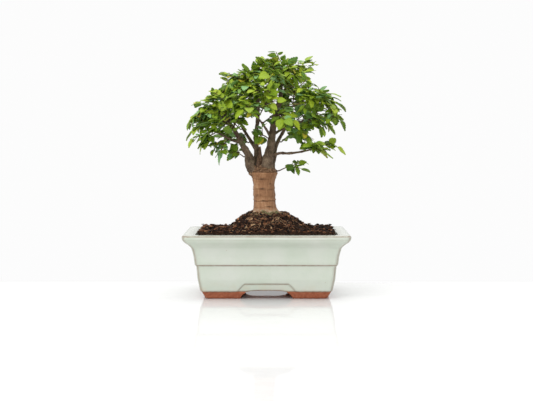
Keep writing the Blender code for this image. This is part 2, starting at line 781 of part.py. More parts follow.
# ---- Sprays ------------------------------------------------------------
BOX_FACES = [(0, 1, 5, 4), (1, 2, 6, 5), (2, 3, 7, 6), (3, 0, 4, 7),
             (3, 2, 1, 0), (4, 5, 6, 7)]
BLADE_FACES = BOX_FACES[:5] + [(4, 5, 8), (5, 6, 8), (6, 7, 8), (7, 4, 8)]


def square(point, up, side, half_up, half_side):
    """Four corners, counter-clockwise about up x side."""
    return [point + up * half_up - side * half_side,
            point + up * half_up + side * half_side,
            point - up * half_up + side * half_side,
            point - up * half_up - side * half_side]


class Leaf:
    """A blade: where it starts, its axis, its width direction and its size."""

    def __init__(self, start, axis, normal, length, width, droop):
        self.start = start
        self.axis = axis
        self.normal = normal
        self.side = axis.cross(normal)
        self.length = length
        self.width = width
        self.droop = droop

    def inside_limits(self):
        tip = self.tip(0.0)
        side = self.side * (self.width * 0.5)
        mid = self.mid()
        points = (tip, mid + side, mid - side)
        return all(abs(p.x) < CROWN_HALF_WIDTH and abs(p.y) < CROWN_HALF_DEPTH
                   and p.z < CROWN_TOP for p in points)

    def mid(self):
        return self.start + self.axis * (self.length * 0.44)

    def tip(self, extra):
        drop = self.normal * (self.length * self.droop)
        return self.start + self.axis * (self.length + extra) - drop

    def blade(self, grow):
        """Closed test shape of the blade, larger all round by a clearance."""
        base = self.start + self.axis * (self.length * 0.04)
        half = LEAF_THICKNESS / 2 + grow
        width = self.width / 2 + grow
        ring_a = square(base, self.normal, self.side, half, NODE_LENGTH / 2 + grow)
        ring_b = square(self.mid(), self.normal, self.side, half, width)
        return ring_a + ring_b + [self.tip(grow * 1.5)], BLADE_FACES


def turned(vector, axis, degrees):
    return Matrix.Rotation(math.radians(degrees), 3, axis) @ vector


def outwards_from_crown(point):
    away = point - Vector((TRUNK_X, 0.0, POT_HEIGHT + CROWN_CENTRE))
    return away.normalized()


class Shoot:
    """A twig of nodes; each node may carry a leaf or a side shoot on each side."""

    def __init__(self, stations, up):
        self.stations = stations
        self.frames = frames_along([p for p, _ in stations], up)
        self.children = {}
        self.end_leaf = None

    def ring(self, k):
        point, _, u, s = self.frames[k]
        r = self.stations[k][1]
        return square(point, u, s, r, r)


def shoot_stations(line_at, length, start_radius, end_radius, first):
    """Pairs of rings, a short node and a longer stretch between nodes."""
    run = 0.0
    stops = [0.0]
    run = first
    while run + NODE_LENGTH < length - 0.0012:
        stops += [run, run + NODE_LENGTH]
        run += NODE_PITCH
    stops.append(length)
    stations = []
    for stop in stops:
        share = stop / length
        radius = start_radius + (end_radius - start_radius) * share
        stations.append((line_at(share), radius))
    return stations


def place_leaf(rng, occupied, start, ahead, up, outward, size, own, angle_range):
    """Try orientations near the natural one until the blade is clear."""
    for attempt in range(LEAF_TRIES):
        spread = 1.0 + attempt * 0.10
        shrink = 1.0 - 0.030 * attempt
        angle = rng.uniform(*angle_range)
        droop_tilt = rng.uniform(2.0, 34.0) * spread
        roll = rng.uniform(-24.0, 24.0) * spread
        length = size * rng.uniform(0.78, 1.18) * shrink
        axis = (ahead * math.cos(math.radians(angle))
                + outward * math.sin(math.radians(angle))).normalized()
        side_dir = axis.cross(up).normalized()
        axis = turned(axis, side_dir, -droop_tilt + 8.0)
        normal = side_dir.cross(axis).normalized()
        if normal.dot(up) < 0:
            normal = -normal
        normal += outwards_from_crown(start) * rng.uniform(*LEAF_FACING)
        normal = (normal - axis * normal.dot(axis)).normalized()
        normal = turned(normal, axis, roll)
        leaf = Leaf(start, axis, normal, length,
                    length * LEAF_SLIMNESS * rng.uniform(0.90, 1.10),
                    rng.uniform(0.04, 0.16))
        if not leaf.inside_limits():
            continue
        verts, faces = leaf.blade(LEAF_CLEARANCE)
        if not occupied.hits(verts, faces, own):
            occupied.add(*leaf.blade(0.0))
            return leaf
    return None


def segment_shape(shoot, k, grow):
    ring_a = []
    ring_b = []
    for key, ring in ((k, ring_a), (k + 1, ring_b)):
        point, _, u, s = shoot.frames[key]
        r = shoot.stations[key][1] + grow
        ring.extend(square(point, u, s, r, r))
    return ring_a + ring_b, BOX_FACES


def node_keys(shoot):
    """Index of the first ring of each node."""
    return range(1, len(shoot.stations) - 2, 2)


def shoot_clear(shoot, occupied, first, own):
    """Whether every stretch after the first few is clear of other pieces."""
    for k in range(first, len(shoot.stations) - 1):
        verts, faces = segment_shape(shoot, k, LEAF_CLEARANCE)
        if occupied.hits(verts, faces, own):
            return False
    return True


def occupy_shoot(shoot, occupied):
    for k in range(len(shoot.stations) - 1):
        occupied.add(*segment_shape(shoot, k, 0.0))


def main_shoot(rng, base, tip, up_hint):
    """A twig from its base to its tip with a gentle rise and a bent end."""
    chord = tip - base
    length = chord.length
    lift = Vector((0, 0, 1)) * length * rng.uniform(*SHOOT_ARCH)
    sway = chord.cross(Vector((0, 0, 1))).normalized() * length * rng.uniform(-0.08, 0.08)

    def line_at(share):
        bend = 4.0 * share * (1.0 - share)
        return base + chord * share + (lift + sway) * bend

    first = min(0.0050, length * 0.25)
    stations = shoot_stations(line_at, length, TWIG_RADIUS, TWIG_TIP_RADIUS, first)
    return Shoot(stations, up_hint)


def side_shoot(rng, start, ahead, up, outward, length):
    angle = math.radians(rng.uniform(42.0, 60.0))
    heading = (ahead * math.cos(angle) + outward * math.sin(angle)).normalized()
    heading = (heading + up * rng.uniform(-0.12, 0.22)).normalized()
    bend = up * (-length * rng.uniform(0.02, 0.10)) + ahead * length * 0.10

    def line_at(share):
        return start + heading * (length * share) + bend * share ** 2

    stations = shoot_stations(line_at, length, TWIG_RADIUS * 0.80,
                              TWIG_TIP_RADIUS * 0.90, 0.0034)
    return Shoot(stations, up)


def leaf_seat(shoot, k, side):
    """Middle of the node's face on one side, with its outward direction."""
    point_a, ahead, up, s = shoot.frames[k]
    point_b = shoot.frames[k + 1][0]
    outward = s if side == 1 else -s
    radius = (shoot.stations[k][1] + shoot.stations[k + 1][1]) / 2
    return (point_a + point_b) / 2 + outward * radius, ahead, up, outward


def dress_shoot(rng, shoot, occupied, size, own, skip_sides):
    """Leaves on a shoot whose first stretch was recorded at index own."""
    for k in node_keys(shoot):
        for side in (1, 3):
            if (k, side) in skip_sides:
                continue
            start, ahead, up, outward = leaf_seat(shoot, k, side)
            leaf = place_leaf(rng, occupied, start, ahead, up, outward, size,
                              {own + k - 1, own + k, own + k + 1}, (38.0, 68.0))
            if leaf:
                shoot.children[(k, side)] = leaf
    point, ahead, up, s = shoot.frames[-1]
    last = len(shoot.stations) - 2
    leaf = place_leaf(rng, occupied, point, ahead, up, s, size * 1.05,
                      {own + last, own + last - 1}, (-14.0, 14.0))
    shoot.end_leaf = leaf


def grow_spray(rng, occupied, base_at, tip, size):
    """One spray: a twig, up to two side shoots, and the leaves on all of them."""
    centre = Vector((TRUNK_X, 0.0, POT_HEIGHT + 0.105))
    outward = (tip - centre)
    outward.z *= 0.35
    outward.normalize()
    shoot = None
    for attempt in range(SHOOT_TRIES):
        up_hint = (Vector((0, 0, 1)) + outward * rng.uniform(0.25, 0.85)).normalized()
        jitter = Vector([rng.uniform(-1, 1) * 0.00035 * attempt for _ in range(3)])
        base = base_at(rng.uniform(-1, 1) * 0.004 * attempt)
        trial = main_shoot(rng, base, tip + jitter, up_hint)
        if shoot_clear(trial, occupied, 0, ()):
            shoot = trial
            break
    if shoot is None:
        return None
    main_index = len(occupied.items)
    occupy_shoot(shoot, occupied)
    nodes = list(node_keys(shoot))
    sides = [1, 3] if rng.random() < 0.5 else [3, 1]
    skip = set()
    side_shoots = []
    for order, place in enumerate((1, 2)):
        if place >= len(nodes) - 1:
            continue
        k = nodes[place]
        side = sides[order]
        start, ahead, up, out = leaf_seat(shoot, k, side)
        for attempt in range(8):
            length = (0.0190 - 0.0030 * order) * rng.uniform(0.85, 1.15)
            trial = side_shoot(rng, start, ahead, up, out, length)
            own = {main_index + k - 1, main_index + k, main_index + k + 1}
            if shoot_clear(trial, occupied, 0, own):
                shoot.children[(k, side)] = trial
                skip.add((k, side))
                index = len(occupied.items)
                occupy_shoot(trial, occupied)
                side_shoots.append((trial, index))
                break
    dress_shoot(rng, shoot, occupied, size, main_index, skip)
    for trial, index in side_shoots:
        dress_shoot(rng, trial, occupied, size * 0.94, index, set())
    return shoot


def spray_base(lines, limb, share, shift, tip):
    """Start of a spray's twig, just clear of the limb that carries it."""
    if limb == "trunk":
        return to_metres(LOWEST_START)
    line, radii = lines[limb]
    if share < 1.0:
        share = min(0.97, max(0.05, share + shift))
    point, ahead, radius = point_along(line, radii, share)
    if share >= 1.0:
        return point + ahead * (GAP * 2 + TWIG_RADIUS)
    away = tip - point
    away -= ahead * away.dot(ahead)
    away.normalize()
    return point + away * (radius * 1.06 + TWIG_RADIUS + GAP * 3)


def crown_obstacles(lines):
    occupied = Occupied()
    occupied.add(*loft(trunk_rings()))
    for name in lines:
        occupied.add(*tube(*lines[name], LIMB_SIDES))
    return occupied


def plan_crown():
    """Every spray's shoots and leaves, placed one after another without touching."""
    lines = limb_lines()
    occupied = crown_obstacles(lines)
    plan = []
    for index, (name, limb, share, tip, size) in enumerate(SPRAYS):
        rng = random.Random(SEED + index * 97)
        tip = to_metres(tip)

        def base_at(shift, limb=limb, share=share, tip=tip):
            return spray_base(lines, limb, share, shift, tip)

        shoot = grow_spray(rng, occupied, base_at, tip, LEAF_LENGTH * size)
        if shoot is not None:
            plan.append((name, shoot))
    return lines, plan


# ---- Spray solids ------------------------------------------------------
def matched(ring, base, verts):
    """The new ring turned so that its corners follow the base ring's corners."""
    best = None
    for shift in range(4):
        order = ring[shift:] + ring[:shift]
        cost = sum((order[i] - verts[base[i]]).length_squared for i in range(4))
        if best is None or cost < best[0]:
            best = (cost, order)
    return best[1]


def add_ring(verts, ring):
    start = len(verts)
    verts.extend(ring)
    return [start, start + 1, start + 2, start + 3]


def join(faces, a, b, open_sides=()):
    for i in range(4):
        if i not in open_sides:
            j = (i + 1) % 4
            faces.append((a[i], a[j], b[j], b[i]))


def emit_leaf(verts, faces, base, leaf):
    mid = square(leaf.mid(), leaf.normal, leaf.side, LEAF_THICKNESS / 2, leaf.width / 2)
    ring = add_ring(verts, matched(mid, base, verts))
    join(faces, base, ring)
    verts.append(leaf.tip(0.0))
    last = len(verts) - 1
    for i in range(4):
        faces.append((ring[i], ring[(i + 1) % 4], last))


def emit_shoot(verts, faces, base, shoot):
    """Rings of a shoot; children grow from the side faces that are left open."""
    count = len(shoot.stations)
    rings = []
    for k in range(count):
        if k == 0 and base is not None:
            rings.append(base)
            continue
        ring = shoot.ring(k)
        if k == 1 and base is not None:
            ring = matched(ring, base, verts)
        elif k > 1 or base is None:
            ring = matched(ring, rings[-1], verts) if rings else ring
        rings.append(add_ring(verts, ring))
    if base is None:
        faces.append(tuple(reversed(rings[0])))
    for k in range(count - 1):
        opened = {}
        for side in (1, 3):
            child = shoot.children.get((k, side))
            if child is not None:
                opened[face_towards(verts, rings[k], rings[k + 1], shoot, k, side)] = child
        join(faces, rings[k], rings[k + 1], opened)
        for i, child in opened.items():
            j = (i + 1) % 4
            seat = [rings[k][i], rings[k][j], rings[k + 1][j], rings[k + 1][i]]
            if isinstance(child, Leaf):
                emit_leaf(verts, faces, seat, child)
            else:
                emit_shoot(verts, faces, seat, child)
    if shoot.end_leaf is not None:
        emit_leaf(verts, faces, rings[-1], shoot.end_leaf)
    else:
        faces.append(tuple(rings[-1]))


def face_towards(verts, a, b, shoot, k, side):
    """Which of a segment's four side faces looks towards the given side."""
    s = shoot.frames[k][3]
    want = s if side == 1 else -s
    centre = sum((verts[i] for i in a + b), Vector()) / 8
    best = max(range(4), key=lambda i: want.dot(
        (verts[a[i]] + verts[a[(i + 1) % 4]] + verts[b[i]] + verts[b[(i + 1) % 4]]) / 4
        - centre))
    return best


def build_spray(name, shoot):
    verts = []
    faces = []
    emit_shoot(verts, faces, None, shoot)
    return make_object(name, verts, faces, "leaf")


# ---- Assembly ----------------------------------------------------------
def build():
    clear_scene()
    build_pot()
    build_screen("left", -1)
    build_screen("right", 1)
    build_soil()
    lines, plan = plan_crown()
    build_trunk(socket_shapes(lines))
    for name, (line, radii) in lines.items():
        verts, faces = tube(line, radii, LIMB_SIDES)
        make_object(name, verts, faces, "limb_bark", smooth=True)
    for name, shoot in plan:
        build_spray(name, shoot)


build()
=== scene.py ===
"""Looks for the potted bonsai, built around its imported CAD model.

Metres, +Z up, the same frame as the CAD. The crown is grown by the same rules
and the same seeds as the CAD sprays, so each finished leaf lies where its plain
solid does. The rest is the pot's glaze and clay, the soil, the trunk and limbs.
"""

import json
import math
import random

import bpy
import numpy as np
from mathutils import Matrix, Vector, noise
from mathutils.bvhtree import BVHTree
from mathutils.geometry import tessellate_polygon

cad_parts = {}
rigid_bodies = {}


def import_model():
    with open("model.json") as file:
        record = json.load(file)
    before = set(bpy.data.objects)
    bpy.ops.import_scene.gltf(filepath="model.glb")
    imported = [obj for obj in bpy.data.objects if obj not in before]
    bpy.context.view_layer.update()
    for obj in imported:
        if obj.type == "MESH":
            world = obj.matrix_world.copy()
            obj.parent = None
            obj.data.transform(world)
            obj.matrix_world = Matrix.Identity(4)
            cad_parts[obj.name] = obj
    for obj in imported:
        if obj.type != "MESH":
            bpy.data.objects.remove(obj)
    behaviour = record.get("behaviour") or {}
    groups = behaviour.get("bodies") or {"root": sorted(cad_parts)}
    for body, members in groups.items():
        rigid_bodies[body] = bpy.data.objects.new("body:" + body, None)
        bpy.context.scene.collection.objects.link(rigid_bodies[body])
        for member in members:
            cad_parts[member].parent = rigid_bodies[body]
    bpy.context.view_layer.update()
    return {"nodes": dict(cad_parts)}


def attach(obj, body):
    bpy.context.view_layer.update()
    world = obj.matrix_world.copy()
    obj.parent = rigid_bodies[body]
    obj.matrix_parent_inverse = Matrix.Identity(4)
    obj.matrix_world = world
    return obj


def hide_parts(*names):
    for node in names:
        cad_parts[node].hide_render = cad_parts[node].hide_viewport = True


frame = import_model()

MM = 0.001

# ---- Pot ---------------------------------------------------------------
POT_WIDTH = 0.170
POT_DEPTH = 0.120
POT_HEIGHT = 0.066
CORNER_RADIUS = 0.0055
LIP_HEIGHT = 0.0042
FLANGE_DROP = 0.0130
FLANGE_INSET = 0.0090
PANEL_INSET = 0.0124
LEDGE_HEIGHT = 0.0344
LEDGE_STEP = 0.0016
BASE_INSET = 0.0175
FOOT_HEIGHT = 0.0072
FLOOR_THICKNESS = 0.0050
RIM_INNER_INSET = 0.0136
WALL = 0.0052
FOOT_LENGTH = 0.0390
FOOT_RETURN = 0.0230
FOOT_THICKNESS = 0.0095
FOOT_TAPER = 0.0034
FOOT_SLANT = 0.0060
FOOT_SETBACK = 0.0018
APRON_HALF_WIDTH = 0.0310
APRON_HALF_TOP = 0.0220
APRON_RISE = 0.0085
APRON_DEPTH = 0.0016
ARCH_HALF_WIDTH = 0.0205
ARCH_RISE = 0.0014
DRAIN_RADIUS = 0.0065
DRAIN_SPACING = 0.0600

# ---- Fits --------------------------------------------------------------
GAP = 0.0003

# ---- Soil --------------------------------------------------------------
SOIL_LEVEL = 0.0022
MOUND_HEIGHT = 0.0185
MOUND_INNER = 0.0120
MOUND_RIGHT = 0.0500
MOUND_LEFT = 0.0370
MOUND_DEPTH = 0.0400

# ---- Trunk -------------------------------------------------------------
TRUNK_X = -0.0027
TRUNK_RADIUS = 0.0111
COLLAR_RADIUS = 0.0142
FLARE_RADIUS = 0.0158
TRUNK_SUNK = 0.0070
TRUNK_TOP = 0.0692
COLLAR_DROP = 0.0092
TRUNK_SIDES = 36

# ---- Crown -------------------------------------------------------------
LIMB_SIDES = 8
LIMB_SCALE = 1.0
TWIG_RADIUS = 0.00060
TWIG_TIP_RADIUS = 0.00038
NODE_LENGTH = 0.0018
NODE_PITCH = 0.0056
LEAF_LENGTH = 0.0128
LEAF_SLIMNESS = 0.56
LEAF_THICKNESS = 0.0007
LEAF_CLEARANCE = 0.00035
LEAF_FACING = (0.15, 1.15)
CROWN_CENTRE = 0.100
SHOOT_ARCH = (0.08, 0.22)
LEAF_TRIES = 14
SHOOT_TRIES = 60
CROWN_HALF_WIDTH = 0.0845
CROWN_HALF_DEPTH = 0.0590
CROWN_TOP = 0.2530
SEED = 4127

# Limbs: name, where it grows from, radius at the two ends (mm), and its line (mm
# from the pot's centre line, height above the rim).
LIMBS = [
    ("limb_left", "trunk", 4.1, 1.3,
     [(-13.4, -2.0, 62.5), (-16.8, -3, 67.5), (-18.4, -4, 78.5), (-25.2, -6, 91),
      (-32, -8, 103.6), (-39, -9, 114), (-44.5, -10, 126.6), (-46, -10, 133)]),
    ("limb_right", "trunk", 5.5, 1.4,
     [(0.4, -3.6, 63), (0.9, -3.6, 72), (3.4, -3, 84), (5.6, -3, 97), (8.0, -3, 117),
      (11.5, -2, 128), (14.6, 0, 138), (14.8, 2, 149), (13, 3, 160)]),
    ("limb_middle", "trunk", 3.5, 1.0,
     [(-8.0, 5.6, 62.5), (-9.4, 6.4, 72), (-10.2, 7, 84), (-11.4, 8, 97),
      (-9.6, 9, 114), (-8.4, 10, 134), (-9.4, 10, 150)]),
    ("limb_back_left", "trunk", 2.8, 1.0,
     [(-1.6, 10.8, 62), (-5, 16, 74), (-14, 20, 90), (-24, 26, 106), (-30, 30, 118),
      (-32, 32, 127)]),
    ("limb_back_right", "trunk", 3.0, 1.0,
     [(5.4, 7.0, 62), (7.0, 12, 74), (10.5, 18, 90), (19, 24, 106), (28, 28, 118),
      (33, 29, 127)]),
    ("branch_front", "limb_right", 1.6, 0.8,
     [(3.7, -3, 100), (-2, -14, 109), (-8, -22, 117), (-11, -27, 122)]),
    ("branch_right_upper", "limb_right", 1.7, 0.8,
     [(6.2, -3, 112), (15, -7, 123), (29, -9, 131), (38, -9, 134), (47, -9, 136)]),
    ("branch_right_far", "limb_right", 1.6, 0.8,
     [(4, -3, 99), (17, 0, 107), (32, 1, 113), (46, 0, 117), (59, -1, 119)]),
    ("branch_right_low", "limb_right", 1.8, 0.8,
     [(-0.4, -3.6, 77), (13, -6, 81.5), (23, -8, 81.5), (35, -9, 83), (44, -9, 85),
      (52, -9, 87.5)]),
    ("branch_left_mid", "limb_left", 1.5, 0.8,
     [(-26, -6, 92), (-35, -10, 95), (-45, -12, 100), (-52, -12, 104),
      (-58, -11, 107)]),
    ("branch_left_far", "limb_left", 1.3, 0.8,
     [(-39.5, -9, 115), (-49, -6, 122), (-58, -3, 127)]),
]

# Sprays: name, limb it grows from, how far along that limb, where its tip is (mm from
# the pot's centre line, height above the rim), leaf size against the usual one.
SPRAYS = [
    ("spray_top_centre", "limb_right", 1.00, (3, 0, 177), 0.95),
    ("spray_top_right", "limb_right", 0.93, (22, -6, 172), 0.95),
    ("spray_top_far_right", "limb_right", 0.86, (37, -2, 163), 0.90),
    ("spray_top_front", "limb_right", 0.82, (3, -22, 163), 1.00),
    ("spray_top_back", "limb_right", 0.90, (12, 27, 166), 0.95),
    ("spray_top_left", "limb_middle", 1.00, (-16, 2, 169), 0.95),
    ("spray_top_far_left", "limb_middle", 0.92, (-30, 2, 158), 0.95),
    ("spray_top_back_left", "limb_middle", 0.86, (-18, 32, 155), 1.00),
    ("spray_crown_front_left", "limb_middle", 0.80, (-20, -22, 151), 1.00),
    ("spray_upper_left", "limb_left", 1.00, (-36, -12, 152), 1.00),
    ("spray_upper_left_outer", "limb_left", 0.93, (-53, -16, 140), 1.00),
    ("spray_upper_left_far", "limb_left", 0.86, (-66, -15, 127), 1.00),
    ("spray_upper_left_front", "limb_left", 0.80, (-42, -34, 134), 1.05),
    ("spray_left_inner_front", "limb_left", 0.66, (-26, -31, 131), 1.05),
    ("spray_left_front", "limb_left", 0.52, (-47, -30, 116), 1.05),
    ("spray_back_left_top", "limb_back_left", 1.00, (-38, 40, 141), 1.00),
    ("spray_back_left_inner", "limb_back_left", 0.84, (-14, 43, 137), 1.00),
    ("spray_back_left_outer", "limb_back_left", 0.72, (-56, 34, 126), 1.05),
    ("spray_back_left_low", "limb_back_left", 0.50, (-44, 34, 100), 1.05),
    ("spray_left_far_upper", "branch_left_far", 1.00, (-75, -5, 115), 1.05),
    ("spray_left_far_back", "branch_left_far", 0.70, (-62, 16, 124), 1.05),
    ("spray_left_far_mid", "branch_left_mid", 1.00, (-76, -12, 106), 1.05),
    ("spray_left_mid_front", "branch_left_mid", 0.72, (-60, -32, 102), 1.05),
    ("spray_left_hanging", "branch_left_mid", 0.80, (-66, -8, 92), 1.15),
    ("spray_left_low", "branch_left_mid", 0.30, (-47, -20, 84), 1.00),
    ("spray_left_low_inner", "limb_left", 0.24, (-38, -8, 82), 0.95),
    ("spray_front_centre", "branch_front", 1.00, (-23, -42, 127), 1.15),
    ("spray_front_upper", "branch_front", 0.86, (4, -40, 144), 1.10),
    ("spray_front_right", "branch_front", 0.55, (24, -35, 118), 1.05),
    ("spray_right_upper", "branch_right_upper", 1.00, (66, -8, 140), 1.05),
    ("spray_right_upper_front", "branch_right_upper", 0.72, (45, -32, 137), 1.05),
    ("spray_right_crown", "branch_right_upper", 0.50, (28, -18, 151), 1.00),
    ("spray_right_outer", "branch_right_upper", 0.86, (70, -22, 127), 1.05),
    ("spray_back_right_top", "limb_back_right", 1.00, (43, 37, 139), 1.00),
    ("spray_back_right_inner", "limb_back_right", 0.84, (18, 43, 141), 1.00),
    ("spray_back_right_outer", "limb_back_right", 0.68, (60, 27, 122), 1.05),
    ("spray_back_right_low", "limb_back_right", 0.48, (44, 34, 98), 1.05),
    ("spray_right_far", "branch_right_far", 1.00, (76, -2, 117), 1.05),
    ("spray_right_fan", "branch_right_far", 0.66, (56, -26, 108), 1.10),
    ("spray_right_fan_inner", "branch_right_far", 0.34, (31, -28, 103), 1.10),
    ("spray_right_low_tip", "branch_right_low", 1.00, (72, -9, 89), 1.10),
    ("spray_right_low_front", "branch_right_low", 0.62, (55, -25, 84), 1.10),
    ("spray_inner_low", "limb_right", 0.34, (-8, -20, 98), 0.90),
    ("spray_right_lowest", "trunk", 0.00, (35, -8, 66), 0.78),
]
LOWEST_START = (13.5, -3.0, 63.5)


def loft(rings):
    """Faces between rings of equal length, each counter-clockwise about the line."""
    count = len(rings[0])
    verts = [v for ring in rings for v in ring]
    faces = []
    for k in range(len(rings) - 1):
        for i in range(count):
            j = (i + 1) % count
            faces.append((k * count + i, k * count + j,
                          (k + 1) * count + j, (k + 1) * count + i))
    last = (len(rings) - 1) * count
    faces.append(tuple(reversed(range(count))))
    faces.append(tuple(range(last, last + count)))
    return verts, faces


def wall_inset(z):
    """Inset of the inside wall at a height, a wall's thickness in from outside."""
    flange_z = POT_HEIGHT - FLANGE_DROP
    if z >= flange_z:
        blend = (POT_HEIGHT - z) / FLANGE_DROP
        start, end = RIM_INNER_INSET, FLANGE_INSET + WALL
        return start + (end - start) * blend
    if z >= LEDGE_HEIGHT:
        blend = (flange_z - z) / (flange_z - LEDGE_HEIGHT)
        return WALL + FLANGE_INSET + (PANEL_INSET - FLANGE_INSET) * blend
    blend = (LEDGE_HEIGHT - z) / (LEDGE_HEIGHT - FOOT_HEIGHT)
    return WALL + PANEL_INSET + (BASE_INSET - PANEL_INSET) * blend


def floor_height():
    return FOOT_HEIGHT + FLOOR_THICKNESS


def outer_profile():
    """Heights and insets up the outside, from the base to the top of the lip."""
    flange_z = POT_HEIGHT - FLANGE_DROP
    step_inset = PANEL_INSET + LEDGE_STEP
    rise = flange_z - LEDGE_HEIGHT
    profile = [
        (FOOT_HEIGHT, BASE_INSET + 0.0012),
        (FOOT_HEIGHT + 0.0010, BASE_INSET),
        (FOOT_HEIGHT + 0.0130, BASE_INSET - 0.0024),
        (LEDGE_HEIGHT - 0.0014, step_inset),
        (LEDGE_HEIGHT - 0.0002, step_inset - 0.0002),
        (LEDGE_HEIGHT + 0.0008, PANEL_INSET),
        (LEDGE_HEIGHT + rise * 0.50, FLANGE_INSET + 0.0024),
        (LEDGE_HEIGHT + rise * 0.80, FLANGE_INSET + 0.0011),
        (flange_z, FLANGE_INSET),
        (flange_z + 0.0030, FLANGE_INSET - 0.0029),
        (flange_z + 0.0060, FLANGE_INSET - 0.0066),
        (POT_HEIGHT - LIP_HEIGHT - 0.0010, 0.0010),
        (POT_HEIGHT - LIP_HEIGHT, 0.0003),
        (POT_HEIGHT - 0.0012, 0.0),
        (POT_HEIGHT, 0.0011),
    ]
    return profile


def inner_profile():
    """Heights and insets from the rim down the inside to the floor."""
    floor = floor_height()
    top = POT_HEIGHT
    profile = [
        (top, RIM_INNER_INSET - 0.0012),
        (top - 0.0012, RIM_INNER_INSET),
    ]
    for share in (0.82, 0.60, 0.38, 0.16):
        z = floor + (top - floor) * share
        profile.append((z, wall_inset(z)))
    z = floor + 0.0022
    profile.append((z, wall_inset(z) + 0.0006))
    profile.append((floor, wall_inset(floor) + 0.0030))
    return profile


def arch_height(x):
    """Rise of the shallow vault under the pot, front to back between the feet."""
    return ARCH_RISE * (1.0 - abs(x / ARCH_HALF_WIDTH) ** 4)


# ---- Trunk and soil ----------------------------------------------------
def wobble(angle, height, amount):
    """A smooth uneven outline, the same for every piece that follows it."""
    z = height / MM
    value = math.sin(2 * angle + 0.7 + z * 0.03)
    value += 0.6 * math.sin(3 * angle + 2.1 - z * 0.05)
    value += 0.4 * math.sin(5 * angle + 0.4 + z * 0.02)
    return amount * value / 2.0


def around_trunk(r, angle):
    """x and y at a distance from the trunk's axis."""
    return TRUNK_X + r * math.cos(angle), r * math.sin(angle)


def ring_at(height, radius_at):
    """A ring round the trunk's axis at a height above the rim."""
    ring = []
    for i in range(TRUNK_SIDES):
        angle = math.tau * i / TRUNK_SIDES
        ring.append((*around_trunk(radius_at(angle), angle), POT_HEIGHT + height))
    return ring


def trunk_ring(height, radius, amount):
    """A ring of the straight trunk or its crown, uneven by an amount."""
    return ring_at(height, lambda angle: radius + wobble(angle, height, amount))


def flare_radius(angle):
    """Root crown: three low lobes, the largest towards +X."""
    lobe = 0.5 + 0.5 * math.cos(angle)
    return FLARE_RADIUS * (0.93 + 0.12 * lobe + 0.05 * math.cos(3 * angle + 0.6))


def base_ring(height, share):
    """A ring between the straight trunk and the root flare."""
    return ring_at(height, lambda angle: TRUNK_RADIUS
                   + (flare_radius(angle) - TRUNK_RADIUS) * share)


def trunk_bottom():
    return SOIL_LEVEL + MOUND_HEIGHT - TRUNK_SUNK


def trunk_rings():
    low = trunk_bottom()
    soil_top = SOIL_LEVEL + MOUND_HEIGHT
    collar = TRUNK_TOP - COLLAR_DROP
    rings = [
        base_ring(low, 1.00),
        base_ring(soil_top - 0.0010, 0.96),
        base_ring(soil_top + 0.0016, 0.52),
        base_ring(soil_top + 0.0046, 0.16),
    ]
    straight = (
        (soil_top + 0.0090, 1.01, 0.0004), (soil_top + 0.0150, 0.99, 0.0003),
        (soil_top + 0.0152 + 0.0020, 1.03, 0.0003),
        (soil_top + 0.0212, 1.00, 0.0003), (soil_top + 0.0282, 0.98, 0.0004),
        (collar - 0.0060, 1.01, 0.0004),
    )
    for height, share, amount in straight:
        rings.append(trunk_ring(height, TRUNK_RADIUS * share, amount))
    crown = (
        (collar - 0.0024, COLLAR_RADIUS - 0.0012), (collar, COLLAR_RADIUS),
        (collar + 0.0022, COLLAR_RADIUS - 0.0006),
        (collar + 0.0046, COLLAR_RADIUS - 0.0018),
        (collar + 0.0068, COLLAR_RADIUS - 0.0044),
        (collar + 0.0082, COLLAR_RADIUS - 0.0078),
    )
    for height, radius in crown:
        rings.append(trunk_ring(height, radius, 0.0008))
    return rings


def mound_height(x, y):
    """Height of the soil above the rim at a point."""
    dx = x - TRUNK_X
    reach = MOUND_RIGHT if dx > 0 else MOUND_LEFT
    r = math.hypot(dx, y)
    if r < 1e-9:
        return SOIL_LEVEL + MOUND_HEIGHT
    c, s = dx / r, y / r
    edge = 1.0 / math.hypot(c / reach, s / MOUND_DEPTH)
    t = min(1.0, max(0.0, (r - MOUND_INNER) / (edge - MOUND_INNER)))
    lift = (1.0 - t ** 1.6) ** 1.1
    rough = 0.0005 * math.sin(x / MM * 0.61 + 1.3) * math.sin(y / MM * 0.53 + 0.4)
    return SOIL_LEVEL + MOUND_HEIGHT * lift + rough


def cavity_inset(z):
    """Inset of the pot's inside face at a height."""
    profile = inner_profile()
    for (z_high, a), (z_low, b) in zip(profile, profile[1:]):
        if z >= z_low:
            share = min(1.0, max(0.0, (z_high - z) / (z_high - z_low)))
            return a + (b - a) * share
    return profile[-1][1]


def soil_edge(angle, z):
    """Where a ray from the trunk's axis meets the soil's edge at a height."""
    inset = cavity_inset(z) + GAP + 0.0001
    half_x = POT_WIDTH / 2 - inset
    half_y = POT_DEPTH / 2 - inset
    c, s = math.cos(angle), math.sin(angle)
    low, high = 0.0, POT_WIDTH
    for _ in range(40):
        mid = (low + high) / 2
        x, y = abs(TRUNK_X + mid * c), abs(mid * s)
        over_x = max(0.0, x - (half_x - CORNER_RADIUS))
        over_y = max(0.0, y - (half_y - CORNER_RADIUS))
        if x > half_x or y > half_y or math.hypot(over_x, over_y) > CORNER_RADIUS:
            high = mid
        else:
            low = mid
    return low


# ---- Limbs -------------------------------------------------------------
def to_metres(point):
    return Vector((point[0] * MM, point[1] * MM, POT_HEIGHT + point[2] * MM))


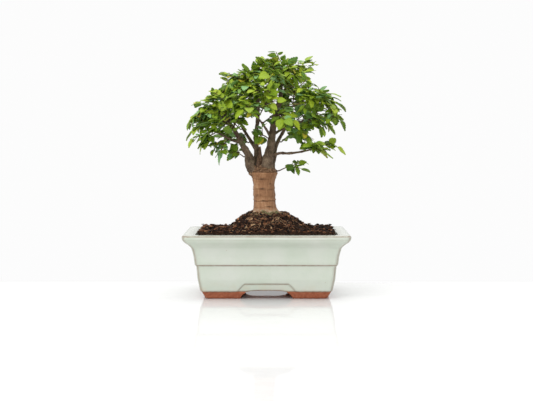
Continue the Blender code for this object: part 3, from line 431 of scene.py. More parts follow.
def curve_points(control, steps):
    """A smooth line through the control points."""
    points = [to_metres(p) for p in control]
    ends = [points[0] * 2 - points[1]] + points + [points[-1] * 2 - points[-2]]
    line = []
    for k in range(1, len(ends) - 2):
        a, b, c, d = ends[k - 1:k + 3]
        for i in range(steps):
            t = i / steps
            line.append(0.5 * ((2 * b) + (c - a) * t + (2 * a - 5 * b + 4 * c - d) * t ** 2
                               + (3 * b - a - 3 * c + d) * t ** 3))
    line.append(points[-1].copy())
    return line


def frames_along(line, up):
    """Direction, up and side at each point of a line, turned as little as possible."""
    frames = []
    last = len(line) - 1
    for i, point in enumerate(line):
        ahead = line[min(i + 1, last)] - line[max(i - 1, 0)]
        ahead.normalize()
        up = (up - ahead * up.dot(ahead)).normalized()
        frames.append((point, ahead, up.copy(), ahead.cross(up)))
    return frames


def tube(line, radii, sides, up=Vector((0.3, -0.9, 0.1))):
    rings = []
    for (point, _, u, s), radius in zip(frames_along(line, up), radii):
        ring = []
        for i in range(sides):
            angle = math.tau * i / sides
            ring.append(point + (u * math.cos(angle) + s * math.sin(angle)) * radius)
        rings.append(ring)
    return loft(rings)


def limb_radii(line, start, end):
    lengths = [0.0]
    for a, b in zip(line, line[1:]):
        lengths.append(lengths[-1] + (b - a).length)
    radii = []
    for run in lengths:
        share = run / lengths[-1]
        swell = 1.0 + 0.22 * max(0.0, 1.0 - share * 9.0)
        radii.append(LIMB_SCALE * MM * (start + (end - start) * share ** 0.8) * swell)
    return radii


def trim_start(line, radii, distance):
    """The line with a length cut from its start."""
    run = 0.0
    for i in range(len(line) - 1):
        step = (line[i + 1] - line[i]).length
        if run + step > distance:
            t = (distance - run) / step
            start = line[i].lerp(line[i + 1], t)
            r = radii[i] + (radii[i + 1] - radii[i]) * t
            if (line[i + 1] - start).length < 0.0004:
                i += 1
            return [start] + line[i + 1:], [r] + radii[i + 1:]
        run += step
    return line, radii


def nearest_on(line, radii, point):
    """Distance from a point to a line, and the line's radius there."""
    best = None
    for i in range(len(line) - 1):
        step = line[i + 1] - line[i]
        t = min(1.0, max(0.0, (point - line[i]).dot(step) / step.length_squared))
        gap = (point - line[i].lerp(line[i + 1], t)).length
        if best is None or gap < best[0]:
            best = (gap, radii[i] + (radii[i + 1] - radii[i]) * t)
    return best


def limb_lines():
    """Each limb's line and radii; a branch starts clear of the limb it grows from."""
    lines = {}
    for name, parent, start, end, control in LIMBS:
        line = curve_points(control, 2)
        radii = limb_radii(line, start, end)
        if parent != "trunk":
            for _ in range(80):
                gap, radius = nearest_on(*lines[parent], line[0])
                if gap > radius + radii[0] * 0.9 + GAP * 2:
                    break
                line, radii = trim_start(line, radii, 0.0002)
        lines[name] = (line, radii)
    return lines


def point_along(line, radii, share):
    lengths = [0.0]
    for a, b in zip(line, line[1:]):
        lengths.append(lengths[-1] + (b - a).length)
    target = lengths[-1] * share
    for i in range(len(line) - 1):
        if target <= lengths[i + 1] + 1e-12:
            t = (target - lengths[i]) / max(1e-9, lengths[i + 1] - lengths[i])
            ahead = (line[i + 1] - line[i]).normalized()
            return line[i].lerp(line[i + 1], t), ahead, \
                radii[i] + (radii[i + 1] - radii[i]) * t
    return line[-1].copy(), (line[-1] - line[-2]).normalized(), radii[-1]


# ---- Clearances between pieces ------------------------------------------
class Occupied:
    """The shapes already placed, with their boxes, for clearance tests."""

    def __init__(self):
        self.items = []

    def add(self, verts, faces):
        low = [min(v[i] for v in verts) for i in range(3)]
        high = [max(v[i] for v in verts) for i in range(3)]
        tree = BVHTree.FromPolygons([tuple(v) for v in verts], faces)
        self.items.append((low, high, tree))

    def hits(self, verts, faces, skip=()):
        low = [min(v[i] for v in verts) for i in range(3)]
        high = [max(v[i] for v in verts) for i in range(3)]
        tree = None
        for index, (a, b, other) in enumerate(self.items):
            if a[0] > high[0] or b[0] < low[0] or a[1] > high[1] or b[1] < low[1] \
                    or a[2] > high[2] or b[2] < low[2] or index in skip:
                continue
            if tree is None:
                tree = BVHTree.FromPolygons([tuple(v) for v in verts], faces)
            if tree.overlap(other):
                return True
        return False


# ---- Sprays ------------------------------------------------------------
BOX_FACES = [(0, 1, 5, 4), (1, 2, 6, 5), (2, 3, 7, 6), (3, 0, 4, 7),
             (3, 2, 1, 0), (4, 5, 6, 7)]
BLADE_FACES = BOX_FACES[:5] + [(4, 5, 8), (5, 6, 8), (6, 7, 8), (7, 4, 8)]


def square(point, up, side, half_up, half_side):
    """Four corners, counter-clockwise about up x side."""
    return [point + up * half_up - side * half_side,
            point + up * half_up + side * half_side,
            point - up * half_up + side * half_side,
            point - up * half_up - side * half_side]


class Leaf:
    """A blade: where it starts, its axis, its width direction and its size."""

    def __init__(self, start, axis, normal, length, width, droop):
        self.start = start
        self.axis = axis
        self.normal = normal
        self.side = axis.cross(normal)
        self.length = length
        self.width = width
        self.droop = droop

    def inside_limits(self):
        tip = self.tip(0.0)
        side = self.side * (self.width * 0.5)
        mid = self.mid()
        points = (tip, mid + side, mid - side)
        return all(abs(p.x) < CROWN_HALF_WIDTH and abs(p.y) < CROWN_HALF_DEPTH
                   and p.z < CROWN_TOP for p in points)

    def mid(self):
        return self.start + self.axis * (self.length * 0.44)

    def tip(self, extra):
        drop = self.normal * (self.length * self.droop)
        return self.start + self.axis * (self.length + extra) - drop

    def blade(self, grow):
        """Closed test shape of the blade, larger all round by a clearance."""
        base = self.start + self.axis * (self.length * 0.04)
        half = LEAF_THICKNESS / 2 + grow
        width = self.width / 2 + grow
        ring_a = square(base, self.normal, self.side, half, NODE_LENGTH / 2 + grow)
        ring_b = square(self.mid(), self.normal, self.side, half, width)
        return ring_a + ring_b + [self.tip(grow * 1.5)], BLADE_FACES


def turned(vector, axis, degrees):
    return Matrix.Rotation(math.radians(degrees), 3, axis) @ vector


def outwards_from_crown(point):
    away = point - Vector((TRUNK_X, 0.0, POT_HEIGHT + CROWN_CENTRE))
    return away.normalized()


class Shoot:
    """A twig of nodes; each node may carry a leaf or a side shoot on each side."""

    def __init__(self, stations, up):
        self.stations = stations
        self.frames = frames_along([p for p, _ in stations], up)
        self.children = {}
        self.end_leaf = None


def shoot_stations(line_at, length, start_radius, end_radius, first):
    """Pairs of rings, a short node and a longer stretch between nodes."""
    stops = [0.0]
    run = first
    while run + NODE_LENGTH < length - 0.0012:
        stops += [run, run + NODE_LENGTH]
        run += NODE_PITCH
    stops.append(length)
    stations = []
    for stop in stops:
        share = stop / length
        radius = start_radius + (end_radius - start_radius) * share
        stations.append((line_at(share), radius))
    return stations


def place_leaf(rng, occupied, start, ahead, up, outward, size, own, angle_range):
    """Try orientations near the natural one until the blade is clear."""
    for attempt in range(LEAF_TRIES):
        spread = 1.0 + attempt * 0.10
        shrink = 1.0 - 0.030 * attempt
        angle = rng.uniform(*angle_range)
        droop_tilt = rng.uniform(2.0, 34.0) * spread
        roll = rng.uniform(-24.0, 24.0) * spread
        length = size * rng.uniform(0.78, 1.18) * shrink
        axis = (ahead * math.cos(math.radians(angle))
                + outward * math.sin(math.radians(angle))).normalized()
        side_dir = axis.cross(up).normalized()
        axis = turned(axis, side_dir, -droop_tilt + 8.0)
        normal = side_dir.cross(axis).normalized()
        if normal.dot(up) < 0:
            normal = -normal
        normal += outwards_from_crown(start) * rng.uniform(*LEAF_FACING)
        normal = (normal - axis * normal.dot(axis)).normalized()
        normal = turned(normal, axis, roll)
        leaf = Leaf(start, axis, normal, length,
                    length * LEAF_SLIMNESS * rng.uniform(0.90, 1.10),
                    rng.uniform(0.04, 0.16))
        if not leaf.inside_limits():
            continue
        verts, faces = leaf.blade(LEAF_CLEARANCE)
        if not occupied.hits(verts, faces, own):
            occupied.add(*leaf.blade(0.0))
            return leaf
    return None


def segment_shape(shoot, k, grow):
    ring_a = []
    ring_b = []
    for key, ring in ((k, ring_a), (k + 1, ring_b)):
        point, _, u, s = shoot.frames[key]
        r = shoot.stations[key][1] + grow
        ring.extend(square(point, u, s, r, r))
    return ring_a + ring_b, BOX_FACES


def node_keys(shoot):
    """Index of the first ring of each node."""
    return range(1, len(shoot.stations) - 2, 2)


def shoot_clear(shoot, occupied, first, own):
    """Whether every stretch after the first few is clear of other pieces."""
    for k in range(first, len(shoot.stations) - 1):
        verts, faces = segment_shape(shoot, k, LEAF_CLEARANCE)
        if occupied.hits(verts, faces, own):
            return False
    return True


def occupy_shoot(shoot, occupied):
    for k in range(len(shoot.stations) - 1):
        occupied.add(*segment_shape(shoot, k, 0.0))


def main_shoot(rng, base, tip, up_hint):
    """A twig from its base to its tip with a gentle rise and a bent end."""
    chord = tip - base
    length = chord.length
    lift = Vector((0, 0, 1)) * length * rng.uniform(*SHOOT_ARCH)
    sway = chord.cross(Vector((0, 0, 1))).normalized() * length * rng.uniform(-0.08, 0.08)

    def line_at(share):
        bend = 4.0 * share * (1.0 - share)
        return base + chord * share + (lift + sway) * bend

    first = min(0.0050, length * 0.25)
    stations = shoot_stations(line_at, length, TWIG_RADIUS, TWIG_TIP_RADIUS, first)
    return Shoot(stations, up_hint)


def side_shoot(rng, start, ahead, up, outward, length):
    angle = math.radians(rng.uniform(42.0, 60.0))
    heading = (ahead * math.cos(angle) + outward * math.sin(angle)).normalized()
    heading = (heading + up * rng.uniform(-0.12, 0.22)).normalized()
    bend = up * (-length * rng.uniform(0.02, 0.10)) + ahead * length * 0.10

    def line_at(share):
        return start + heading * (length * share) + bend * share ** 2

    stations = shoot_stations(line_at, length, TWIG_RADIUS * 0.80,
                              TWIG_TIP_RADIUS * 0.90, 0.0034)
    return Shoot(stations, up)


def leaf_seat(shoot, k, side):
    """Middle of the node's face on one side, with its outward direction."""
    point_a, ahead, up, s = shoot.frames[k]
    point_b = shoot.frames[k + 1][0]
    outward = s if side == 1 else -s
    radius = (shoot.stations[k][1] + shoot.stations[k + 1][1]) / 2
    return (point_a + point_b) / 2 + outward * radius, ahead, up, outward


def dress_shoot(rng, shoot, occupied, size, own, skip_sides):
    """Leaves on a shoot whose first stretch was recorded at index own."""
    for k in node_keys(shoot):
        for side in (1, 3):
            if (k, side) in skip_sides:
                continue
            start, ahead, up, outward = leaf_seat(shoot, k, side)
            leaf = place_leaf(rng, occupied, start, ahead, up, outward, size,
                              {own + k - 1, own + k, own + k + 1}, (38.0, 68.0))
            if leaf:
                shoot.children[(k, side)] = leaf
    point, ahead, up, s = shoot.frames[-1]
    last = len(shoot.stations) - 2
    leaf = place_leaf(rng, occupied, point, ahead, up, s, size * 1.05,
                      {own + last, own + last - 1}, (-14.0, 14.0))
    shoot.end_leaf = leaf


def grow_spray(rng, occupied, base_at, tip, size):
    """One spray: a twig, up to two side shoots, and the leaves on all of them."""
    centre = Vector((TRUNK_X, 0.0, POT_HEIGHT + 0.105))
    outward = tip - centre
    outward.z *= 0.35
    outward.normalize()
    shoot = None
    for attempt in range(SHOOT_TRIES):
        up_hint = (Vector((0, 0, 1)) + outward * rng.uniform(0.25, 0.85)).normalized()
        jitter = Vector([rng.uniform(-1, 1) * 0.00035 * attempt for _ in range(3)])
        base = base_at(rng.uniform(-1, 1) * 0.004 * attempt)
        trial = main_shoot(rng, base, tip + jitter, up_hint)
        if shoot_clear(trial, occupied, 0, ()):
            shoot = trial
            break
    if shoot is None:
        return None
    main_index = len(occupied.items)
    occupy_shoot(shoot, occupied)
    nodes = list(node_keys(shoot))
    sides = [1, 3] if rng.random() < 0.5 else [3, 1]
    skip = set()
    side_shoots = []
    for order, place in enumerate((1, 2)):
        if place >= len(nodes) - 1:
            continue
        k = nodes[place]
        side = sides[order]
        start, ahead, up, out = leaf_seat(shoot, k, side)
        for attempt in range(8):
            length = (0.0190 - 0.0030 * order) * rng.uniform(0.85, 1.15)
            trial = side_shoot(rng, start, ahead, up, out, length)
            own = {main_index + k - 1, main_index + k, main_index + k + 1}
            if shoot_clear(trial, occupied, 0, own):
                shoot.children[(k, side)] = trial
                skip.add((k, side))
                index = len(occupied.items)
                occupy_shoot(trial, occupied)
                side_shoots.append((trial, index))
                break
    dress_shoot(rng, shoot, occupied, size, main_index, skip)
    for trial, index in side_shoots:
        dress_shoot(rng, trial, occupied, size * 0.94, index, set())
    return shoot


def spray_base(lines, limb, share, shift, tip):
    """Start of a spray's twig, just clear of the limb that carries it."""
    if limb == "trunk":
        return to_metres(LOWEST_START)
    line, radii = lines[limb]
    if share < 1.0:
        share = min(0.97, max(0.05, share + shift))
    point, ahead, radius = point_along(line, radii, share)
    if share >= 1.0:
        return point + ahead * (GAP * 2 + TWIG_RADIUS)
    away = tip - point
    away -= ahead * away.dot(ahead)
    away.normalize()
    return point + away * (radius * 1.06 + TWIG_RADIUS + GAP * 3)


def crown_obstacles(lines):
    occupied = Occupied()
    occupied.add(*loft(trunk_rings()))
    for name in lines:
        occupied.add(*tube(*lines[name], LIMB_SIDES))
    return occupied


def plan_crown():
    """Every spray's shoots and leaves, placed one after another without touching."""
    lines = limb_lines()
    occupied = crown_obstacles(lines)
    plan = []
    for index, (name, limb, share, tip, size) in enumerate(SPRAYS):
        rng = random.Random(SEED + index * 97)
        tip = to_metres(tip)

        def base_at(shift, limb=limb, share=share, tip=tip):
            return spray_base(lines, limb, share, shift, tip)

        shoot = grow_spray(rng, occupied, base_at, tip, LEAF_LENGTH * size)
        if shoot is not None:
            plan.append((name, shoot))
    return lines, plan


# ---- Numbers for the looks ---------------------------------------------
LEAF_ROWS = 13
LEAF_COLUMNS = 7
LEAF_SHELL = 0.00024
STALK_SHARE = 0.13
BLADE_WIDENING = 1.10
LONG_STRETCH = 0.0025
EXTRA_LEAVES = 2
EXTRA_LEAVES_FROM = 0.070
TRUNK_AROUND = 132
TRUNK_STEP_MM = 0.32
SOIL_AROUND = 260
SOIL_RINGS = 74
SOIL_EDGE_DROP = 0.0030
LONG_TEETH, SHORT_TEETH = 0.095, -0.060
ROOTLETS = 105
MOSS_TUFTS = 190
KNOBS = 26
FRONT_KNOBS = 9
DRAIN_SIDES = 32
APRON_ZONE_X = 0.036
APRON_ZONE_Y = 0.030
APRON_ZONE_TOP = FOOT_HEIGHT + APRON_RISE + 0.004
LEAN_MM = 2.0
SPRAY_SEED = 900
KNOB_SEED = 77
ROOTLET_SEED = 411
MOSS_SEED = 52

# Ring scars round the trunk: height above the rim (mm), depth (mm), how dark
RING_SCARS = ((25.0, 0.16, 0.30), (31.8, 0.42, 1.0), (43.4, 0.28, 0.45),
              (45.0, 0.16, 0.40), (54.5, 0.24, 0.35))
# Short marks: angle round the trunk, height (mm), half angle, half height (mm)
SCAR_MARKS = ((-1.72, 55.1, 0.26, 0.75), (-1.72, 44.9, 0.24, 0.85), (-1.66, 32.6, 0.20, 0.7),
              (-1.20, 26.3, 0.24, 0.65), (-2.20, 38.5, 0.10, 0.5), (-0.95, 50.0, 0.12, 0.5),
              (0.60, 48.0, 0.24, 0.7), (1.50, 36.0, 0.28, 0.8), (2.60, 52.0, 0.22, 0.7))
# Twiglets on a spray whose tip is at least so high above the rim (mm)
TWIGLETS = ((134, 6), (118, 4), (104, 2), (80, 1))
# Heights above the rim (mm) between which a limb's front stays open
LIMB_WINDOWS = {"limb_left": (76.0, 122.0), "limb_right": (70.0, 138.0)}


# ---- Material helpers --------------------------------------------------
class Tree:
    """A material's node tree with short ways to add and join nodes."""

    def __init__(self, name, roughness=0.5, specular=0.5):
        self.mat = bpy.data.materials.new(name)
        self.mat.use_nodes = True
        self.nodes = self.mat.node_tree.nodes
        self.links = self.mat.node_tree.links
        self.bsdf = self.nodes["Principled BSDF"]
        self.bsdf.inputs["Roughness"].default_value = roughness
        self.bsdf.inputs["Specular IOR Level"].default_value = specular

    def put(self, socket, value):
        if isinstance(value, bpy.types.NodeSocket):
            self.links.new(value, socket)
        elif isinstance(value, (tuple, list)) and len(value) == 3 \
                and len(socket.default_value) == 4:
            socket.default_value = (*value, 1.0)
        else:
            socket.default_value = value

    def add(self, kind, **inputs):
        node = self.nodes.new(kind)
        for key, value in inputs.items():
            self.put(node.inputs[key.replace("_", " ")], value)
        return node

    def position(self):
        return self.nodes.new("ShaderNodeTexCoord").outputs["Object"]

    def noise(self, vector, scale, detail=4.0, rough=0.55):
        return self.add("ShaderNodeTexNoise", Vector=vector, Scale=scale,
                        Detail=detail, Roughness=rough).outputs["Fac"]

    def stretch(self, vector, scale):
        node = self.nodes.new("ShaderNodeMapping")
        self.put(node.inputs["Vector"], vector)
        node.inputs["Scale"].default_value = scale
        return node.outputs["Vector"]

    def ramp(self, value, stops):
        node = self.nodes.new("ShaderNodeValToRGB")
        ramp = node.color_ramp
        while len(ramp.elements) < len(stops):
            ramp.elements.new(0.5)
        for element, (place, colour) in zip(ramp.elements, stops):
            element.position = place
            element.color = (*colour, 1.0) if len(colour) == 3 else colour
        self.put(node.inputs["Fac"], value)
        return node.outputs["Color"]

    def math(self, operation, a, b=0.0, clamp=False):
        node = self.nodes.new("ShaderNodeMath")
        node.operation = operation
        node.use_clamp = clamp
        self.put(node.inputs[0], a)
        self.put(node.inputs[1], b)
        return node.outputs[0]

    def times(self, a, b, clamp=False):
        return self.math("MULTIPLY", a, b, clamp)

    def minus(self, a, b):
        return self.math("SUBTRACT", a, b)

    def line(self, value, slope, base):
        """base + slope * value"""
        return self.math("ADD", base, self.times(value, slope))

    def both(self, a, weight_a, b, weight_b):
        """Two values added, each with its own weight."""
        return self.math("ADD", self.times(a, weight_a), self.times(b, weight_b))

    def span(self, value, low, high):
        """Value between two limits as 0 to 1."""
        node = self.nodes.new("ShaderNodeMapRange")
        self.put(node.inputs["Value"], value)
        node.inputs["From Min"].default_value = low
        node.inputs["From Max"].default_value = high
        return node.outputs["Result"]

    def fade(self, value, low, high):
        """1 up to the lower limit, down to 0 at the upper one."""
        return self.math("SUBTRACT", 1.0, self.span(value, low, high), True)

    def cells(self, vector, scale):
        """Distance from a cell's middle, and the cell's own random value."""
        node = self.add("ShaderNodeTexVoronoi", Vector=vector, Scale=scale)
        split = self.add("ShaderNodeSeparateColor", Color=node.outputs["Color"])
        return node.outputs["Distance"], split.outputs[0]

    def mix(self, factor, a, b):
        node = self.nodes.new("ShaderNodeMix")
        node.data_type = "RGBA"
        self.put(node.inputs[0], factor)
        self.put(node.inputs[6], a)
        self.put(node.inputs[7], b)
        return node.outputs[2]

    def attribute(self, name):
        node = self.nodes.new("ShaderNodeAttribute")
        node.attribute_name = name
        return node

    def channels(self, name):
        node = self.attribute(name)
        split = self.add("ShaderNodeSeparateColor", Color=node.outputs["Color"])
        return split.outputs[0], split.outputs[1], split.outputs[2], node.outputs["Alpha"]

    def bump(self, height, strength, distance):
        node = self.add("ShaderNodeBump", Strength=strength, Distance=distance,
                        Height=height)
        self.links.new(node.outputs["Normal"], self.bsdf.inputs["Normal"])

    def colour(self, value):
        self.put(self.bsdf.inputs["Base Color"], value)

    def roughness(self, value):
        self.put(self.bsdf.inputs["Roughness"], value)


# ---- Mesh helpers ------------------------------------------------------
def mesh_object(name, verts, faces, materials, smooth=True, slots=None, colours=None):
    """An object from arrays; colours is a name and one RGBA per vertex."""
    mesh = bpy.data.meshes.new(name)
    mesh.from_pydata(np.asarray(verts, float).tolist(), [],
                     [tuple(int(i) for i in f) for f in faces])
    mesh.update()
    for mat in materials:
        mesh.materials.append(mat)
    if smooth:
        mesh.polygons.foreach_set("use_smooth", [True] * len(mesh.polygons))
    if slots is not None:
        mesh.polygons.foreach_set("material_index", slots)
    if colours is not None:
        label, values = colours
        layer = mesh.color_attributes.new(name=label, type="FLOAT_COLOR", domain="POINT")
        layer.data.foreach_set("color", np.asarray(values, np.float32).ravel())
    ob = bpy.data.objects.new(name, mesh)
    bpy.context.scene.collection.objects.link(ob)
    return ob


def place(ob, slot, *nodes):
    """Fixes a piece to the body and hides the CAD nodes it stands for."""
    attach(ob, "root")
    if nodes:
        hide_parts(*nodes)


class Builder:
    """Vertices, faces, a material index per face and a colour per vertex."""

    def __init__(self):
        self.verts = []
        self.faces = []
        self.slots = []
        self.colours = []

    def add(self, verts, faces, slot, colours):
        start = len(self.verts)
        self.verts.extend(verts)
        self.faces.extend([tuple(start + i for i in f) for f in faces])
        self.slots.extend([slot] * len(faces))
        self.colours.extend(colours)


def grid_faces(rows, columns, wrap=False, flip=False):
    """Quads between the rows of a grid; wrap joins the last column to the first."""
    faces = []
    last = columns if wrap else columns - 1
    for j in range(rows - 1):
        for i in range(last):
            k = (i + 1) % columns
            face = (j * columns + i, j * columns + k,
                    (j + 1) * columns + k, (j + 1) * columns + i)
            faces.append(tuple(reversed(face)) if flip else face)
    return faces


def closed_faces(rows, columns):
    """Faces of a wrapped grid with its first and last rows capped."""
    faces = grid_faces(rows, columns, wrap=True)
    last = (rows - 1) * columns
    faces.append(tuple(reversed(range(columns))))
    faces.append(tuple(range(last, last + columns)))
    return faces


# ---- Materials ---------------------------------------------------------
def leaf_material():
    """Fresh blade: colour by leaf, some pale blue-green as painted sheen, pale midrib and
    side veins, soft sheen.
    """
    t = Tree("leaf", 0.5, 0.24)
    across, along, pick, under = t.channels("leaf")
    mottle = t.noise(t.position(), 420.0, 3.0, 0.6)
    # stops 0.84 and 0.94 are pale blue-green painted sheen, as on leaves facing the sky;
    # 1.00 is a yellowing leaf
    base = t.ramp(pick, [
        (0.00, (0.045, 0.110, 0.007)), (0.16, (0.100, 0.190, 0.010)),
        (0.36, (0.185, 0.300, 0.012)), (0.56, (0.285, 0.400, 0.016)),
        (0.72, (0.360, 0.450, 0.022)), (0.84, (0.165, 0.345, 0.100)),
        (0.94, (0.260, 0.460, 0.190)), (1.00, (0.600, 0.520, 0.040))])
    darker = t.mix(0.5, base, (0.010, 0.040, 0.003))
    base = t.mix(t.times(mottle, 0.55), base, darker)
    off = t.math("ABSOLUTE", t.minus(across, 0.5))
    wave = t.math("FRACT", t.minus(t.times(along, 8.0), t.times(off, 5.0)))
    vein = t.fade(t.math("ABSOLUTE", t.minus(wave, 0.5)), 0.0, 0.14)
    lines = t.math("MAXIMUM", t.times(vein, 0.34), t.fade(off, 0.010, 0.055))
    base = t.mix(t.times(lines, 0.34), base, (0.300, 0.430, 0.080))
    t.colour(t.mix(t.times(under, 0.45), base, (0.150, 0.290, 0.050)))
    t.roughness(t.line(mottle, 0.22, 0.42))
    t.bump(t.both(lines, -0.8, mottle, 0.5), 0.55, 0.0004)
    return t.mat


def plain_material(name, roughness, specular, grain, stops, bump):
    """One noise for colour and bump; grain is scale, detail, roughness, stretch."""
    t = Tree(name, roughness, specular)
    scale, detail, rough, stretch = grain
    pos = t.position()
    if stretch is not None:
        pos = t.stretch(pos, stretch)
    tone = t.noise(pos, scale, detail, rough)
    t.colour(t.ramp(tone, stops))
    t.bump(tone, *bump)
    return t, tone


def twig_material():
    stops = [(0.25, (0.030, 0.014, 0.009)), (0.55, (0.085, 0.042, 0.024)),
             (0.85, (0.200, 0.120, 0.070))]
    grain = (900.0, 4.0, 0.6, (1.0, 1.0, 0.35))
    t, _ = plain_material("twig_bark", 0.7, 0.3, grain, stops, (0.6, 0.0003))
    return t.mat


def limb_material():
    """Grey-brown young bark: flaking patches, dark cracks and pale lenticels."""
    t = Tree("limb_bark", 0.82, 0.25)
    pos = t.position()
    broad = t.noise(pos, 130.0, 5.0, 0.65)
    fine = t.noise(t.stretch(pos, (1.0, 1.0, 0.45)), 700.0, 5.0, 0.65)
    patch = t.both(broad, 0.6, fine, 0.4)
    base = t.ramp(patch, [(0.30, (0.026, 0.016, 0.010)), (0.44, (0.082, 0.053, 0.034)),
                          (0.56, (0.165, 0.115, 0.075)), (0.72, (0.300, 0.225, 0.150))])
    distance, _ = t.cells(t.stretch(pos, (1.0, 1.0, 1.8)), 520.0)
    dots = t.fade(distance, 0.08, 0.24)
    base = t.mix(t.times(dots, 0.5), base, (0.43, 0.35, 0.25))
    moss = t.times(t.span(t.noise(pos, 95.0, 3.0), 0.56, 0.72), 0.45, clamp=True)
    t.colour(t.mix(moss, base, (0.130, 0.150, 0.060)))
    t.roughness(t.line(fine, 0.25, 0.68))
    t.bump(t.line(dots, 0.3, patch), 0.8, 0.0007)
    return t.mat


def trunk_material():
    """Smooth warm bark: fine upright streaks, ring scars and pale flecks."""
    t = Tree("trunk_bark", 0.6, 0.25)
    dark_mark, pale, knob, _ = t.channels("trunk")
    pos = t.position()
    streak = t.noise(t.stretch(pos, (1.0, 1.0, 0.16)), 620.0, 5.0, 0.6)
    cloud = t.noise(pos, 70.0, 4.0, 0.6)
    tone = t.both(streak, 0.5, cloud, 0.5)
    base = t.ramp(tone, [(0.30, (0.165, 0.072, 0.032)), (0.45, (0.265, 0.128, 0.060)),
                         (0.57, (0.360, 0.188, 0.094)), (0.74, (0.500, 0.310, 0.180))])
    ring = t.noise(t.stretch(pos, (0.35, 0.35, 2.4)), 420.0, 3.0, 0.6)
    rings = t.times(t.span(ring, 0.58, 0.70), 0.32, clamp=True)
    base = t.mix(rings, base, (0.130, 0.062, 0.034))
    distance, _ = t.cells(t.stretch(pos, (0.8, 0.8, 2.6)), 420.0)
    fleck = t.fade(distance, 0.05, 0.20)
    base = t.mix(t.times(fleck, 0.40), base, (0.470, 0.310, 0.190))
    wound = t.ramp(t.noise(pos, 380.0, 4.0, 0.65), [
        (0.36, (0.028, 0.015, 0.009)), (0.47, (0.110, 0.058, 0.032)),
        (0.56, (0.230, 0.130, 0.072)), (0.70, (0.430, 0.280, 0.165))])
    base = t.mix(t.times(knob, 0.88), base, wound)
    base = t.mix(t.times(pale, 0.8), base, (0.500, 0.420, 0.300))
    # the dark mix paints ring scars and marks, and painted shade on the stubs between the
    # limbs
    t.colour(t.mix(t.times(dark_mark, 0.92), base, (0.050, 0.022, 0.011)))
    t.roughness(t.line(cloud, 0.28, 0.50))
    t.bump(t.both(tone, 0.8, fleck, 0.3), 0.75, 0.0008)
    return t.mat


def glaze_material():
    """Celadon glaze, brown where it thins on edges, over terracotta on the feet."""
    t = Tree("glaze", 0.14, 0.5)
    edge, foot, shade, warm = t.channels("pot")
    pos = t.position()
    cloud = t.noise(pos, 34.0, 4.0, 0.55)
    fine = t.noise(pos, 260.0, 4.0, 0.6)
    glaze = t.ramp(cloud, [(0.30, (0.505, 0.560, 0.470)), (0.50, (0.535, 0.580, 0.500)),
                           (0.70, (0.570, 0.600, 0.535))])
    # painted shade: under the flange, around the ledge step and inside the pot the glaze is
    # mixed towards a darker olive
    glaze = t.mix(t.times(shade, 0.50), glaze, (0.400, 0.445, 0.320))
    runs = t.noise(t.stretch(pos, (1.0, 1.0, 0.25)), 120.0, 3.0, 0.6)
    runs = t.times(t.span(runs, 0.52, 0.75), 0.22, clamp=True)
    glaze = t.mix(runs, glaze, (0.590, 0.610, 0.560))
    distance, draw = t.cells(pos, 150.0)
    speck = t.times(t.fade(distance, 0.030, 0.075), t.math("GREATER_THAN", draw, 0.84))
    glaze = t.mix(t.times(speck, 0.7), glaze, (0.330, 0.230, 0.130))
    thin = t.times(edge, t.line(fine, 1.1, 0.40), clamp=True)
    glaze = t.mix(thin, glaze, (0.215, 0.130, 0.088))
    ochre = t.times(warm, t.span(t.noise(pos, 55.0, 3.0), 0.42, 0.62), clamp=True)
    glaze = t.mix(t.times(ochre, 0.55), glaze, (0.560, 0.400, 0.230))
    clay = t.ramp(t.noise(pos, 380.0, 5.0, 0.65), [
        (0.30, (0.250, 0.068, 0.030)), (0.50, (0.345, 0.100, 0.045)),
        (0.70, (0.430, 0.150, 0.075))])
    bare = t.span(t.line(t.minus(fine, 0.5), 0.9, foot), 0.46, 0.54)
    t.colour(t.mix(bare, glaze, clay))
    glossy = t.times(t.line(fine, 0.07, 0.10), t.minus(1.0, bare))
    t.roughness(t.line(bare, 0.85, glossy))
    t.bump(t.minus(t.both(cloud, 0.6, fine, 0.14), t.times(speck, 0.4)), 0.35, 0.0012)
    return t.mat


def soil_material():
    t = Tree("soil", 0.95, 0.15)
    pos = t.position()
    tone = t.both(t.noise(pos, 700.0, 6.0, 0.7), 0.7, t.noise(pos, 90.0, 3.0, 0.6), 0.3)
    t.colour(t.ramp(tone, [(0.30, (0.004, 0.002, 0.001)), (0.50, (0.018, 0.009, 0.005)),
                           (0.66, (0.060, 0.028, 0.014)), (0.80, (0.130, 0.065, 0.034))]))
    t.bump(tone, 1.0, 0.0012)
    return t.mat


def chip_material():
    """Bark and peat chips: each has its own brown, with fibres and dark edges."""
    t = Tree("bark_chips", 0.88, 0.2)
    pick = t.attribute("chip").outputs["Color"]
    fibre = t.noise(t.stretch(t.position(), (1.0, 0.4, 1.0)), 1100.0, 4.0, 0.65)
    t.colour(t.mix(t.times(fibre, 0.85), pick, t.mix(0.75, pick, (0.006, 0.003, 0.002))))
    t.roughness(t.line(fibre, 0.25, 0.70))
    t.bump(fibre, 0.8, 0.0005)
    return t.mat


def root_material():
    stops = [(0.30, (0.170, 0.080, 0.038)), (0.55, (0.400, 0.240, 0.130)),
             (0.80, (0.620, 0.440, 0.280))]
    grain = (800.0, 4.0, 0.6, None)
    t, _ = plain_material("rootlets", 0.75, 0.3, grain, stops, (0.6, 0.0003))
    return t.mat


def moss_material():
    stops = [(0.30, (0.080, 0.070, 0.028)), (0.55, (0.210, 0.200, 0.090)),
             (0.80, (0.420, 0.410, 0.240))]
    grain = (900.0, 4.0, 0.6, None)
    t, _ = plain_material("moss", 0.9, 0.2, grain, stops, (0.8, 0.0004))
    return t.mat


def screen_material():
    stops = [(0.35, (0.010, 0.010, 0.011)), (0.70, (0.045, 0.045, 0.047))]
    grain = (900.0, 3.0, 0.6, None)
    t, tone = plain_material("screen", 0.5, 0.4, grain, stops, (0.4, 0.0003))
    t.roughness(t.line(tone, 0.25, 0.42))
    return t.mat


